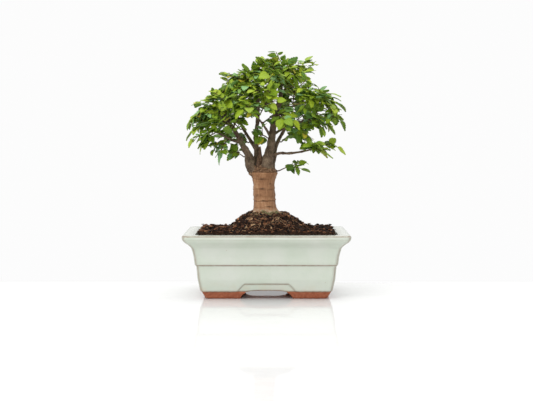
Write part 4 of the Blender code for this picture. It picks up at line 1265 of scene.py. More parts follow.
# ---- Leaves and twigs --------------------------------------------------
def blade_grid():
    """Along and across places of the blade's grid, with its toothed outline."""
    rows = []
    for j in range(LEAF_ROWS):
        s = j / (LEAF_ROWS - 1)
        outline = 2.62 * max(s, 1e-4) ** 0.55 * max(1.0 - s, 1e-5) ** 0.92
        tooth = 0.0 if j in (0, LEAF_ROWS - 1) else (LONG_TEETH if j % 2 else SHORT_TEETH)
        for i in range(LEAF_COLUMNS):
            u = -1.0 + 2.0 * i / (LEAF_COLUMNS - 1)
            edge = abs(u) ** 4
            rows.append((s + edge * tooth * 0.35, u, u * (outline + edge * tooth)))
    return np.array(rows)


BLADE = blade_grid()


def blade_mesh(leaf, rng):
    """Top and underside of one blade as a thin closed shell."""
    start = np.array(leaf.start)
    axis = np.array(leaf.axis)
    side = np.array(leaf.side)
    up = np.array(leaf.normal)
    length = leaf.length * (1.0 - STALK_SHARE)
    s = BLADE[:, 0]
    u = BLADE[:, 1]
    w = BLADE[:, 2] * leaf.width * 0.5 * BLADE_WIDENING
    fold = rng.uniform(0.10, 0.30)
    wave = rng.uniform(-0.030, 0.030)
    phase = rng.uniform(0.0, 6.28)
    twist = rng.uniform(-0.16, 0.16)
    lift = fold * np.abs(w) - leaf.droop * leaf.length * s ** 2.1
    lift = lift + wave * leaf.length * np.sin(7.0 * s + phase) * np.abs(u) ** 2
    lift = lift + twist * w * s
    lift = lift - 0.10 * leaf.width * np.abs(u) ** 3 * s
    bend = rng.uniform(-0.06, 0.06) * leaf.length * s ** 2
    points = (start + axis * leaf.length * STALK_SHARE
              + axis[None, :] * (s * length)[:, None]
              + side[None, :] * (w + bend)[:, None]
              + up[None, :] * lift[:, None])
    below = points - up[None, :] * LEAF_SHELL
    verts = np.concatenate([points, below]).tolist()
    count = LEAF_ROWS * LEAF_COLUMNS
    top = grid_faces(LEAF_ROWS, LEAF_COLUMNS, flip=True)
    faces = list(top)
    faces += [tuple(count + i for i in reversed(f)) for f in top]
    rim = [j * LEAF_COLUMNS for j in range(LEAF_ROWS)]
    far = [j * LEAF_COLUMNS + LEAF_COLUMNS - 1 for j in range(LEAF_ROWS)]
    for a, b in zip(rim, rim[1:]):
        faces.append((a, b, count + b, count + a))
    for a, b in zip(far, far[1:]):
        faces.append((b, a, count + a, count + b))
    pick = leaf_tone(leaf, rng)
    colours = [(0.5 + 0.5 * a, b, pick, 0.0) for b, a in zip(s, u)]
    colours += [(0.5 + 0.5 * a, b, pick, 1.0) for b, a in zip(s, u)]
    return verts, faces, colours


def leaf_tone(leaf, rng):
    """Colour pick: young leaves out at the ends are fresher, and on top of that outer and
    higher leaves are painted lighter and inner ones painted darker, as painted light and
    shade.
    """
    point = leaf.start + leaf.axis * leaf.length
    centre = Vector((TRUNK_X, 0.0, POT_HEIGHT + CROWN_CENTRE))
    away = min(1.0, (point - centre).length / 0.085)
    height = (point.z - POT_HEIGHT) / 0.190
    draw = rng.random()
    # 15 leaves in 100 take the pale blue-green painted sheen
    if draw < 0.15:
        return rng.uniform(0.80, 0.96)
    if draw < 0.175:
        return 1.0
    # tone rises with distance from the crown's centre (fresh young growth, and painted shade
    # on the inner leaves) and with height (painted light from above)
    tone = 0.06 + 0.40 * away ** 1.6 + 0.24 * height + rng.gauss(0.0, 0.17)
    return min(0.76, max(0.02, tone))


def tube_rings(points, radii, sides, up=Vector((0.2, -0.3, 0.93)), rough=None):
    """A tube as a vertex list; rough is a radius change at a point on the surface."""
    verts = []
    for (point, _, u, s), radius in zip(frames_along(points, up), radii):
        for i in range(sides):
            angle = math.tau * i / sides
            ray = u * math.cos(angle) + s * math.sin(angle)
            place_at = point + ray * radius
            if rough is not None:
                place_at = place_at + ray * rough(place_at, radius)
            verts.append(place_at)
    return verts, closed_faces(len(points), sides)


def add_stalk(builder, leaf, root):
    """The short stalk from the twig to the blade."""
    end = leaf.start + leaf.axis * leaf.length * 0.15
    middle = root.lerp(end, 0.5) + leaf.normal * leaf.length * 0.02
    points = [root, middle, end, leaf.start + leaf.axis * leaf.length * 0.24]
    radii = [0.00034, 0.00028, 0.00026, 0.00016]
    verts, faces = tube_rings(points, radii, 5, leaf.normal)
    builder.add(verts, faces, 0, [(0.5, 0.0, 0.62, 0.3)] * len(verts))


def add_twig(builder, shoot, root):
    """The wood of a shoot, from its root, a little thicker there."""
    points = [root] + [p for p, _ in shoot.stations]
    radii = [shoot.stations[0][1] * 1.5] + [r for _, r in shoot.stations]
    line = []
    widths = []
    for k in range(len(points) - 1):
        steps = 3 if (points[k + 1] - points[k]).length > LONG_STRETCH else 1
        for i in range(steps):
            share = i / steps
            line.append(points[k].lerp(points[k + 1], share))
            widths.append(radii[k] + (radii[k + 1] - radii[k]) * share)
    line.append(points[-1])
    widths.append(radii[-1] * 0.8)
    verts, faces = tube_rings(line, [w * 1.05 for w in widths], 6,
                              rough=lambda p, r: 0.16 * r * noise.noise(p * 900.0))
    builder.add(verts, faces, 1, [(0.0, 0.0, 0.0, 0.0)] * len(verts))


def dress(builder, shoot, root, rng):
    """Twig, side shoots, stalks and blades of one shoot."""
    add_twig(builder, shoot, root)
    for leaf in extra_leaves(shoot, rng):
        add_leaf(builder, leaf, leaf.start, rng)
    for (k, _), child in sorted(shoot.children.items()):
        inner = (shoot.frames[k][0] + shoot.frames[k + 1][0]) / 2
        if isinstance(child, Leaf):
            add_leaf(builder, child, inner, rng)
        else:
            dress(builder, child, inner, rng)
    if shoot.end_leaf is not None:
        add_leaf(builder, shoot.end_leaf, shoot.stations[-1][0], rng)


def mean_length(shoot):
    """Mean length of the leaves a shoot carries."""
    sizes = [c.length for c in shoot.children.values() if isinstance(c, Leaf)]
    if shoot.end_leaf is not None:
        sizes.append(shoot.end_leaf.length)
    return sum(sizes) / len(sizes) if sizes else LEAF_LENGTH * 0.8


def extra_leaves(shoot, rng):
    """Smaller leaves between the modelled ones, lying flatter, over and under."""
    size = mean_length(shoot)
    found = []
    last = len(shoot.frames) - 1
    for k in range(1, last):
        a, ahead, up, side = shoot.frames[k]
        b = shoot.frames[k + 1][0]
        if a.z < POT_HEIGHT + EXTRA_LEAVES_FROM:
            continue
        for _ in range(EXTRA_LEAVES if (b - a).length > LONG_STRETCH else 1):
            start = a.lerp(b, rng.random())
            hand = rng.choice((-1.0, 1.0))
            outward = (side * hand + up * rng.uniform(-0.35, 0.75)).normalized()
            turn = math.radians(rng.uniform(35.0, 75.0))
            axis = (ahead * math.cos(turn) + outward * math.sin(turn)).normalized()
            axis = (axis + Vector((0, 0, rng.uniform(-0.45, 0.15)))).normalized()
            normal = Vector((rng.uniform(-0.35, 0.35), rng.uniform(-0.55, 0.15), 1.0))
            normal += outwards_from_crown(start) * rng.uniform(0.05, 0.75)
            normal = (normal - axis * normal.dot(axis)).normalized()
            length = size * rng.uniform(0.62, 1.02)
            leaf = Leaf(start, axis, normal, length, length * LEAF_SLIMNESS
                        * rng.uniform(0.92, 1.15), rng.uniform(0.05, 0.18))
            if leaf.inside_limits() and not hides_limb(leaf, rng):
                found.append(leaf)
    return found


# Points along the two bold limbs, filled in once the limbs' lines are known
WINDOWS = {}


def hides_limb(leaf, rng):
    """Whether a leaf would lie across the front of one of the two bold limbs."""
    point = leaf.mid()
    for name, (low, high) in LIMB_WINDOWS.items():
        for p in WINDOWS[name]:
            if low < (p.z - POT_HEIGHT) / MM < high and point.y < p.y \
                    and abs(point.z - p.z) < 0.006 and abs(point.x - p.x) < 0.0085:
                return rng.random() < 0.9
    return False


def twiglet(start, heading, length, rng):
    """A fine side twig that droops a little, as a shoot of its own."""
    bend = Vector((rng.uniform(-0.15, 0.15), rng.uniform(-0.15, 0.15), -0.12)) * length

    def line_at(share):
        return start + heading * (length * share) + bend * share ** 2

    stations = shoot_stations(line_at, length, TWIG_RADIUS * 0.7,
                              TWIG_TIP_RADIUS * 0.8, 0.0030)
    return Shoot(stations, Vector((0.0, -0.3, 1.0)).normalized())


def add_twiglets(builder, shoot, rng, count):
    """Leafy twiglets off a spray's main twig that close the gaps in the crown."""
    for _ in range(count):
        k = rng.randrange(1, len(shoot.frames) - 1)
        point, ahead, up, side = shoot.frames[k]
        around = rng.uniform(0.0, math.tau)
        out = side * math.cos(around) + up * math.sin(around)
        heading = (ahead * rng.uniform(0.2, 0.9) + out).normalized()
        small = twiglet(point, heading, rng.uniform(0.011, 0.019), rng)
        tip = small.stations[-1][0]
        if not (abs(tip.x) < CROWN_HALF_WIDTH - 0.009 and tip.z < CROWN_TOP - 0.008
                and abs(tip.y) < CROWN_HALF_DEPTH - 0.009):
            continue
        add_twig(builder, small, point)
        for leaf in extra_leaves(small, rng):
            add_leaf(builder, leaf, leaf.start, rng)


def add_leaf(builder, leaf, root, rng):
    """A blade with its stalk."""
    add_stalk(builder, leaf, root)
    verts, faces, colours = blade_mesh(leaf, rng)
    builder.add(verts, faces, 0, colours)


def spray_root(lines, limb, shoot):
    """Where the spray's twig meets the wood of the limb that carries it."""
    first = shoot.stations[0][0]
    if limb == "trunk":
        return first + Vector((-0.0050, 0.0010, -0.0010))
    return nearest(refined(lines[limb][0]), first)


def nearest(points, point):
    """The point of a list that is nearest to another point."""
    return min(((point - p).length, p) for p in points)[1]


def refined(line):
    """The line with three points more in each of its stretches."""
    points = []
    for a, b in zip(line, line[1:]):
        points += [a.lerp(b, i / 4) for i in range(4)]
    points.append(line[-1])
    return points


def twiglet_count(name):
    """More twiglets for the high sprays: the low ones are open and see-through."""
    tip_z = next(tip[2] for spray, _, _, tip, _ in SPRAYS if spray == name)
    for limit, count in TWIGLETS:
        if tip_z >= limit:
            return count
    return 0


def build_sprays(lines, plan, leaf_mat, twig_mat):
    """Each spray of the plan as one piece, with extra leaves and twiglets."""
    for name in LIMB_WINDOWS:
        WINDOWS[name] = refined(lines[name][0])
    limbs = {name: limb for name, limb, *_ in SPRAYS}
    for index, (name, shoot) in enumerate(plan):
        rng = random.Random(SPRAY_SEED + index)
        builder = Builder()
        dress(builder, shoot, spray_root(lines, limbs[name], shoot), rng)
        add_twiglets(builder, shoot, rng, twiglet_count(name))
        ob = mesh_object(f"{name}_foliage", builder.verts, builder.faces,
                         [leaf_mat, twig_mat], slots=builder.slots,
                         colours=("leaf", builder.colours))
        place(ob, "leaf", name)


# ---- Limbs -------------------------------------------------------------
def limb_surface(point, radius):
    """Bumps of the bark, as a change of radius."""
    big = noise.noise(point * 260.0) * 0.16
    small = noise.noise(point * 800.0) * 0.07
    return radius * (big + small)


# How much thicker a limb's bark swells where it leaves the crown
LIMB_SWELL = {"limb_left": 0.46, "limb_right": 0.22, "limb_middle": 0.25}
PLAIN_SWELL = 0.15
SWELL_PLACE, SWELL_WIDTH = 0.0125, 0.0090


def knotted(radii, rng):
    """The radii with four low knots, at random places along the limb."""
    knots = [rng.uniform(0.1, 0.95) for _ in range(4)]
    shaped = []
    for i, radius in enumerate(radii):
        share = i / (len(radii) - 1)
        for knot in knots:
            radius *= 1.0 + 0.22 * math.exp(-((share - knot) * 55.0) ** 2)
        shaped.append(radius)
    return shaped


def swollen(radii, line, swell):
    """The radii with a swelling a little above the limb's base."""
    return [radius * (1.0 + swell * bump_at((point - line[0]).length,
                                            SWELL_PLACE, SWELL_WIDTH))
            for radius, point in zip(radii, line)]


def build_limbs(mat):
    """Each limb rooted inside the wood that carries it, with a blunt tip."""
    coarse = limb_lines()
    for name, parent, start, end, control in LIMBS:
        line = curve_points(control, 14)
        rng = random.Random(len(name) * 31 + int(start * 10))
        radii = knotted(limb_radii(line, start, end), rng)
        if parent == "trunk":
            radii = swollen(radii, line, LIMB_SWELL.get(name, PLAIN_SWELL))
            back = (line[0] - line[2]).normalized()
            line = [line[0] + back * 0.004] + line
            radii = [radii[0]] + radii
        else:
            root = nearest(refined(coarse[parent][0]), line[0])
            line = [root] + line[1:]
            radii[0] *= 1.2
        tip = (line[-1] - line[-2]).normalized()
        line.append(line[-1] + tip * radii[-1] * 0.7)
        radii.append(radii[-1] * 0.45)
        verts, faces = tube_rings(line, radii, 16, rough=limb_surface)
        ob = mesh_object(f"{name}_wood", verts, faces, [mat])
        place(ob, "limb_bark", name)


# ---- Trunk -------------------------------------------------------------
FLARE_BELOW = 5.4


def trunk_profile():
    """Height and radius up the straight trunk and its healed crown (mm)."""
    soil_top = (SOIL_LEVEL + MOUND_HEIGHT) / MM
    collar = (TRUNK_TOP - COLLAR_DROP) / MM
    r = TRUNK_RADIUS / MM
    c = COLLAR_RADIUS / MM
    straight = [(soil_top + 4.6, r * 1.02), (soil_top + 9, r * 1.01),
                (soil_top + 15, r * 0.99), (soil_top + 17.2, r * 1.03),
                (soil_top + 21.2, r), (soil_top + 28.2, r * 0.98),
                (collar - 10.0, r * 1.01), (collar - FLARE_BELOW, r + 0.9)]
    crown = [(collar - 2.4, c - 1.1), (collar, c - 0.2), (collar + 2.2, c - 0.4),
             (collar + 4.6, c - 1.8), (collar + 6.8, c - 4.4), (collar + 8.2, c - 7.8),
             (collar + 8.9, 0.2)]
    return straight + crown


def profile_radius(profile, z):
    """Radius at a height: eased between points up to the collar, then straight."""
    eased_to = (TRUNK_TOP - COLLAR_DROP) / MM - FLARE_BELOW
    for (z0, r0), (z1, r1) in zip(profile, profile[1:]):
        if z <= z1:
            t = min(1.0, max(0.0, (z - z0) / (z1 - z0)))
            if z1 > eased_to:
                return r0 + (r1 - r0) * t
            return r0 + (r1 - r0) * t * t * (3 - 2 * t)
    return profile[-1][1]


def trunk_point(profile, angle, z):
    """Radius (mm) of the trunk, with how scarred, pale and knobbly it is there."""
    soil_top = (SOIL_LEVEL + MOUND_HEIGHT) / MM
    collar = (TRUNK_TOP - COLLAR_DROP) / MM
    flare = math.exp(-max(0.0, z - soil_top + 1.0) / 2.6)
    base = profile_radius(profile, max(z, profile[0][0]))
    radius = base + (flare_radius(angle) / MM - base) * min(1.0, flare) * 0.96
    spot = Vector((math.cos(angle) * 3.0, math.sin(angle) * 3.0, z * 0.22))
    radius += 0.35 * noise.noise(spot * 0.8) + wobble(angle, z * MM, 0.4)
    dark_mark = 0.0
    for place_z, depth, dark in RING_SCARS:
        line = place_z + 0.9 * noise.noise(Vector((math.cos(angle), math.sin(angle),
                                                   place_z)) * 1.3)
        part = 0.55 + 0.75 * noise.noise(Vector((angle * 1.4, place_z, 3.0)))
        near = math.exp(-((z - line) / 0.42) ** 2)
        radius -= depth * near * 1.5 * max(0.2, part)
        radius += depth * math.exp(-((z - line - 1.1) / 0.8) ** 2) * 1.1
        dark_mark = max(dark_mark, near * dark * max(0.15, min(1.0, part)))
    for mark, mark_z, half_angle, half_z in SCAR_MARKS:
        turn = math.remainder(angle - mark, math.tau)
        near = math.exp(-(turn / half_angle) ** 2 - ((z - mark_z) / half_z) ** 2)
        radius += 0.25 * near
        dark_mark = max(dark_mark, near)
    knob = min(1.0, max(0.0, (z - collar - 1.4) / 1.4))
    if z > collar + 0.6:
        lumps = noise.noise(Vector((math.cos(angle) * 2.3, math.sin(angle) * 2.3,
                                    z * 0.42)) * 1.5)
        radius += 1.5 * knob * lumps * min(1.0, base / 8.0)
    edge = collar + 2.2 + 0.5 * noise.noise(Vector((math.cos(angle), math.sin(angle), 9)))
    lip = math.exp(-((z - edge) / 0.50) ** 2)
    dark_mark = max(dark_mark, 0.85 * lip)
    radius -= 0.50 * lip
    radius += 0.45 * math.exp(-((z - edge + 1.4) / 0.8) ** 2)
    pale = 0.0
    if z < soil_top + 4.0:
        lump = noise.noise(Vector((math.cos(angle) * 5.0, math.sin(angle) * 5.0, z * 0.5)))
        radius += 1.0 * max(0.0, lump) * min(1.0, flare + 0.1)
        pale = min(1.0, max(0.0, (soil_top + 4.0 - z) / 4.0)) * (0.45 + 0.9 * lump)
    return radius, dark_mark, max(0.0, min(1.0, pale)), knob


def build_trunk_look(mat):
    """The trunk from its foot in the soil to its crown, leaning a little at the base."""
    profile = trunk_profile()
    low = trunk_bottom() / MM
    top = profile[-1][0]
    heights = []
    z = low
    while z < top - 0.05:
        heights.append(z)
        z += TRUNK_STEP_MM
    heights.append(top)
    verts = []
    colours = []
    for z in heights:
        for i in range(TRUNK_AROUND):
            angle = math.tau * i / TRUNK_AROUND
            radius, dark_mark, pale, knob = trunk_point(profile, angle, z)
            radius *= MM
            lean = LEAN_MM * MM * max(0.0, 1.0 - z / 45.0) * (z > 12.0 or z / 12.0)
            verts.append((TRUNK_X + lean + radius * math.cos(angle),
                          radius * math.sin(angle), POT_HEIGHT + z * MM))
            colours.append((dark_mark, pale, knob, 1.0))
    builder = Builder()
    builder.add(verts, closed_faces(len(heights), TRUNK_AROUND), 0, colours)
    for shape in crown_knobs():
        builder.add(*shape)
    ob = mesh_object("trunk_wood", builder.verts, builder.faces, [mat],
                     colours=("trunk", builder.colours))
    place(ob, "trunk_bark", "trunk")


# Cut stub at the left and stubs between the limbs, painted dark as the shade in the gap:
# points (mm from the pot's centre line, height above the rim), radii (mm), sides, how dark
# (painted shade, for the stubs between the limbs).
STUBS_AND_SHADED_STEMS = [
    ([(-13.5, -4.0, 59.0), (-16.6, -5.2, 60.6), (-17.8, -5.6, 61.4),
      (-17.9, -5.7, 61.5)], (2.6, 2.1, 1.7, 0.9), 14, 0.25),
    ([(-8.6, -2.4, 60), (-8.9, -2.6, 66), (-8.4, -2.4, 72), (-8.7, -2.0, 77.5),
      (-8.9, -1.8, 79)], (3.4, 3.0, 2.3, 1.4, 0.3), 16, 0.62),
    ([(-5.4, -4.6, 60), (-5.7, -5.0, 65), (-5.2, -4.8, 69), (-5.3, -4.6, 70.5)],
     (3.2, 2.8, 1.9, 0.4), 16, 0.35),
    ([(-11.6, -4.4, 60), (-11.9, -5.0, 64.5), (-12.2, -5.2, 68), (-12.4, -5.3, 69.2)],
     (2.6, 2.3, 1.5, 0.3), 16, 0.30),
    ([(-6.6, -0.6, 62), (-6.2, -0.4, 74), (-6.9, 0.2, 83), (-6.8, 0.4, 88),
      (-6.8, 0.4, 89)], (2.6, 2.3, 1.7, 0.9, 0.2), 16, 0.70),
]


def crown_knobs():
    """Cut stub, stubs between the limbs painted dark as shade, healed bumps and small
    ring-shaped scars around the crown.
    """
    rng = random.Random(KNOB_SEED)
    shapes = []
    for points, radii, sides, dark in STUBS_AND_SHADED_STEMS:
        line = [to_metres(point) for point in points]
        verts, faces = tube_rings(line, [radius * MM for radius in radii], sides,
                                  rough=limb_surface)
        # for the stubs between the limbs this darkness is painted shade, carried into the
        # trunk's dark mix
        shapes.append((verts, faces, 0, [(dark, 0.1, 0.9, 1.0)] * len(verts)))
    for i in range(KNOBS):
        front = i < FRONT_KNOBS
        angle = rng.uniform(math.pi, math.tau) if front else rng.uniform(0, math.pi)
        z = rng.uniform(60.6, 66.0)
        reach = 13.4 - max(0.0, z - 61.0) * 0.95
        centre = Vector(((TRUNK_X / MM + reach * math.cos(angle)) * MM,
                         reach * math.sin(angle) * MM, POT_HEIGHT + z * MM))
        size = rng.uniform(0.0007, 0.0017)
        out = Vector((math.cos(angle), math.sin(angle), 0.45)).normalized()
        line = [centre - out * size, centre + out * size * 0.35,
                centre + out * size * 0.75, centre + out * size * 0.55,
                centre + out * size * 0.25]
        radii = [size * 1.1, size, size * 0.72, size * 0.45, size * 0.05]
        verts, faces = tube_rings(line, radii, 12, rough=limb_surface)
        dark = [0.1, 0.2, 0.35, 0.95, 1.0]
        colours = [(dark[k // 12], 0.0, 0.8, 1.0) for k in range(len(verts))]
        shapes.append((verts, faces, 0, colours))
    return shapes


# ---- Soil --------------------------------------------------------------
def ground(x, y):
    """Height of the finished soil surface, with clods and crumbs."""
    z = mound_height(x, y)
    spot = Vector((x, y, 0.3))
    z += 0.0020 * noise.noise(spot * 120.0)
    z += 0.0015 * noise.noise(spot * 260.0)
    z += 0.0005 * noise.noise(spot * 700.0)
    return POT_HEIGHT + z


def build_soil_look(mat):
    """The soil as one closed body, finely uneven on top."""
    edge_z = POT_HEIGHT - SOIL_EDGE_DROP
    verts = []
    for k in range(SOIL_RINGS):
        share = 1.0 - k / (SOIL_RINGS - 1)
        for i in range(SOIL_AROUND):
            angle = math.tau * i / SOIL_AROUND
            inner = flare_radius(angle) - 0.0022
            r = inner + (soil_edge(angle, edge_z) - inner) * share
            x, y = around_trunk(r, angle)
            verts.append((x, y, edge_z if share > 0.985 else ground(x, y)))
    bottom = floor_height() + 0.0016
    lower = []
    for z in (bottom, LEDGE_HEIGHT):
        for i in range(SOIL_AROUND):
            angle = math.tau * i / SOIL_AROUND
            r = soil_edge(angle, z)
            lower.append((*around_trunk(r, angle), z))
    faces = closed_faces(SOIL_RINGS + 2, SOIL_AROUND)
    ob = mesh_object("soil_mound", lower + verts, faces, [mat])
    place(ob, "soil", "soil")


def soil_spot(rng, spread):
    """A point on the soil, more often towards the mound."""
    angle = rng.uniform(0, math.tau)
    reach = soil_edge(angle, POT_HEIGHT - SOIL_EDGE_DROP) - 0.0016
    inner = flare_radius(angle) - 0.0010
    r = inner + (reach - inner) * rng.random() ** spread
    return around_trunk(r, angle)


CHIP_BROWNS = ((0.012, 0.006, 0.004), (0.036, 0.015, 0.008), (0.085, 0.034, 0.016),
               (0.165, 0.066, 0.030), (0.270, 0.130, 0.064), (0.008, 0.005, 0.004),
               (0.400, 0.255, 0.140))
CHIP_WEIGHTS = (24, 20, 17, 15, 8, 16, 3)

# Litter: name, how many, sizes (mm), how even its spread is, seed, lift in sizes
LITTER = (("bark_chips", 3600, (1.3, 4.4), 0.85, 5, (0.02, 0.26)),
          ("soil_crumbs", 4200, (0.5, 1.5), 0.80, 6, (-0.1, 0.4)))


def chip(rng, centre, normal, size):
    """A splinter: a box of uneven corners, lying near flat on the surface."""
    turn = rng.uniform(0, math.tau)
    along = Vector((math.cos(turn), math.sin(turn), rng.uniform(-0.45, 0.45)))
    along = (along - normal * along.dot(normal) * 0.7).normalized()
    side = normal.cross(along).normalized()
    up = along.cross(side)
    half = (size * rng.uniform(0.38, 0.70), size * rng.uniform(0.10, 0.30),
            size * rng.uniform(0.06, 0.18))
    verts = []
    for sx, sy, sz in ((-1, -1, -1), (1, -1, -1), (1, 1, -1), (-1, 1, -1),
                       (-1, -1, 1), (1, -1, 1), (1, 1, 1), (-1, 1, 1)):
        wx, wy, wz = (rng.uniform(0.6, 1.15) for _ in range(3))
        verts.append(centre + along * sx * half[0] * wx + side * sy * half[1] * wy
                     + up * sz * half[2] * wz)
    faces = [(3, 2, 1, 0), (4, 5, 6, 7), (0, 1, 5, 4), (1, 2, 6, 5), (2, 3, 7, 6),
             (3, 0, 4, 7)]
    return verts, faces


def surface_normal(x, y):
    """Direction square to the smooth mound."""
    d = 0.0012
    dx = mound_height(x + d, y) - mound_height(x - d, y)
    dy = mound_height(x, y + d) - mound_height(x, y - d)
    return Vector((-dx / (2 * d), -dy / (2 * d), 1.0)).normalized()


def build_litter(mat, name, count, sizes, spread, seed, lift):
    """Chips strewn over the soil; those at the left are painted lighter, as painted light.
    """
    rng = random.Random(seed)
    builder = Builder()
    for _ in range(count):
        x, y = soil_spot(rng, spread)
        normal = surface_normal(x, y)
        size = rng.uniform(*sizes) * MM
        near = math.hypot(x - TRUNK_X, y) < 0.020
        z = ground(x, y) + size * rng.uniform(*lift) - (0.0006 if near else 0.0)
        verts, faces = chip(rng, Vector((x, y, z)), normal, size)
        colour = rng.choices(CHIP_BROWNS, CHIP_WEIGHTS)[0]
        # each chip's own random brightness, times painted light: 1.45 at the left, 1.1
        # elsewhere
        brightness_with_painted_light = rng.uniform(0.6, 1.55) * (1.45 if x < -0.025 else 1.1)
        builder.add(verts, faces, 0, [(*(c * brightness_with_painted_light for c in colour), 1.0)] * len(verts))
    ob = mesh_object(name, builder.verts, builder.faces, [mat], smooth=False,
                     colours=("chip", builder.colours))
    place(ob, "soil")


def build_rootlets(mat):
    """Fine roots that come up through the mound, mostly at its front."""
    rng = random.Random(ROOTLET_SEED)
    builder = Builder()
    for i in range(ROOTLETS):
        angle = rng.gauss(-math.pi / 2, 0.55) if i % 4 else rng.uniform(0, math.tau)
        r = rng.uniform(0.0135, 0.034)
        x, y = around_trunk(r, angle)
        heading = angle + rng.uniform(-1.6, 1.6)
        step = rng.uniform(0.0009, 0.0017)
        points = []
        height = rng.uniform(-0.0002, 0.0024)
        for k in range(rng.randint(6, 13)):
            lift = height * math.sin(math.pi * min(1.0, k / 9.0)) - 0.0001
            points.append(Vector((x, y, ground(x, y) + lift)))
            heading += rng.uniform(-0.45, 0.45)
            x += step * math.cos(heading)
            y += step * math.sin(heading)
            if abs(y) > 0.041 or math.hypot(x - TRUNK_X, y) < 0.012:
                break
        if len(points) < 4:
            continue
        radius = rng.uniform(0.00012, 0.00012 + 0.00030 * rng.random())
        radii = [radius * (1.0 - 0.6 * k / len(points)) for k in range(len(points))]
        verts, faces = tube_rings(points, radii, 5)
        builder.add(verts, faces, 0, [(0, 0, 0, 1)] * len(verts))
    ob = mesh_object("rootlets", builder.verts, builder.faces, [mat])
    place(ob, "trunk_bark")


def build_moss(mat):
    """Small tufts against the root crown and over the top of the mound."""
    rng = random.Random(MOSS_SEED)
    builder = Builder()
    for i in range(MOSS_TUFTS):
        angle = rng.gauss(-1.15, 0.42) if i % 4 else rng.uniform(0, math.tau)
        r = flare_radius(angle) + rng.uniform(-0.0012, 0.0085) * rng.random()
        x, y = around_trunk(r, angle)
        base = Vector((x, y, ground(x, y) - 0.0003))
        lean = Vector((rng.uniform(-0.6, 0.6), rng.uniform(-0.6, 0.6), 1.0)).normalized()
        tall = rng.uniform(0.0008, 0.0022)
        wide = rng.uniform(0.00025, 0.0006)
        points = [base, base + lean * tall * 0.5, base + lean * tall]
        verts, faces = tube_rings(points, [wide, wide * 0.9, wide * 0.25], 5)
        builder.add(verts, faces, 0, [(0, 0, 0, 1)] * len(verts))
    ob = mesh_object("moss_tufts", builder.verts, builder.faces, [mat])
    place(ob, "leaf")


# ---- Pot ---------------------------------------------------------------
def rounded_path(half_x, half_y, radius):
    """Points of a rounded rectangle, counter-clockwise, with even fine spacing."""
    points = []
    long_steps, short_steps, corner_steps = 110, 72, 9
    corners = ((1, 1, 0.0), (-1, 1, 90.0), (-1, -1, 180.0), (1, -1, 270.0))
    for index, (sx, sy, start) in enumerate(corners):
        cx = sx * (half_x - radius)
        cy = sy * (half_y - radius)
        for i in range(corner_steps):
            angle = math.radians(start + 90.0 * i / corner_steps)
            points.append((cx + radius * math.cos(angle), cy + radius * math.sin(angle),
                           1.0 - abs(2.0 * i / corner_steps - 1.0)))
        angle = math.radians(start + 90.0)
        a = (cx + radius * math.cos(angle), cy + radius * math.sin(angle))
        nx, ny, _ = corners[(index + 1) % 4]
        next_x = nx * (half_x - radius)
        next_y = ny * (half_y - radius)
        b = (next_x + radius * math.cos(angle), next_y + radius * math.sin(angle))
        steps = long_steps if index % 2 == 0 else short_steps
        for i in range(steps):
            t = i / steps
            points.append((a[0] + (b[0] - a[0]) * t, a[1] + (b[1] - a[1]) * t, 0))
    return points


def smooth_profile(profile, spacing):
    """The profile's points with straight runs filled in at a spacing."""
    points = []
    for (z0, i0), (z1, i1) in zip(profile, profile[1:]):
        steps = max(1, int(math.hypot(z1 - z0, i1 - i0) / spacing))
        for k in range(steps):
            t = k / steps
            points.append((z0 + (z1 - z0) * t, i0 + (i1 - i0) * t))
    points.append(profile[-1])
    for _ in range(2):
        kept = [points[0]]
        for a, b, c in zip(points, points[1:], points[2:]):
            kept.append(((a[0] + 2 * b[0] + c[0]) / 4, (a[1] + 2 * b[1] + c[1]) / 4))
        points = kept + [points[-1]]
    return points


def bump_at(value, place_at, width):
    """1 at a place, falling smoothly to 0 on both sides."""
    return math.exp(-((value - place_at) / width) ** 2)


def arch_lift(x, y, z):
    """How far the vault under the pot lifts the bottom of the front and back."""
    if abs(x) >= ARCH_HALF_WIDTH or abs(y) < 0.025:
        return 0.0
    fade = max(0.0, 1.0 - (z - FOOT_HEIGHT) / 0.0055)
    return arch_height(x) * fade


def apron_depth(x, z):
    """How deep the arched panel low in the front and back is set in."""
    rise = min(1.0, max(0.0, (z - FOOT_HEIGHT) / APRON_RISE))
    sweep = 0.5 - math.sin(math.asin(1.0 - 2.0 * rise) / 3.0)
    sweep = 0.45 * rise + 0.55 * sweep
    half = APRON_HALF_WIDTH + (APRON_HALF_TOP - APRON_HALF_WIDTH) * sweep
    inside_x = (half - abs(x)) / 0.0010
    inside_z = (FOOT_HEIGHT + APRON_RISE - z) / 0.0010
    a = 1.0 / (1.0 + math.exp(-2.2 * inside_x))
    b = 1.0 / (1.0 + math.exp(-2.2 * inside_z))
    line = math.exp(-min(abs(inside_x) if inside_z > 0 else 9.0,
                         abs(inside_z) if inside_x > 0 else 9.0) ** 2 / 0.35)
    return a * b, line


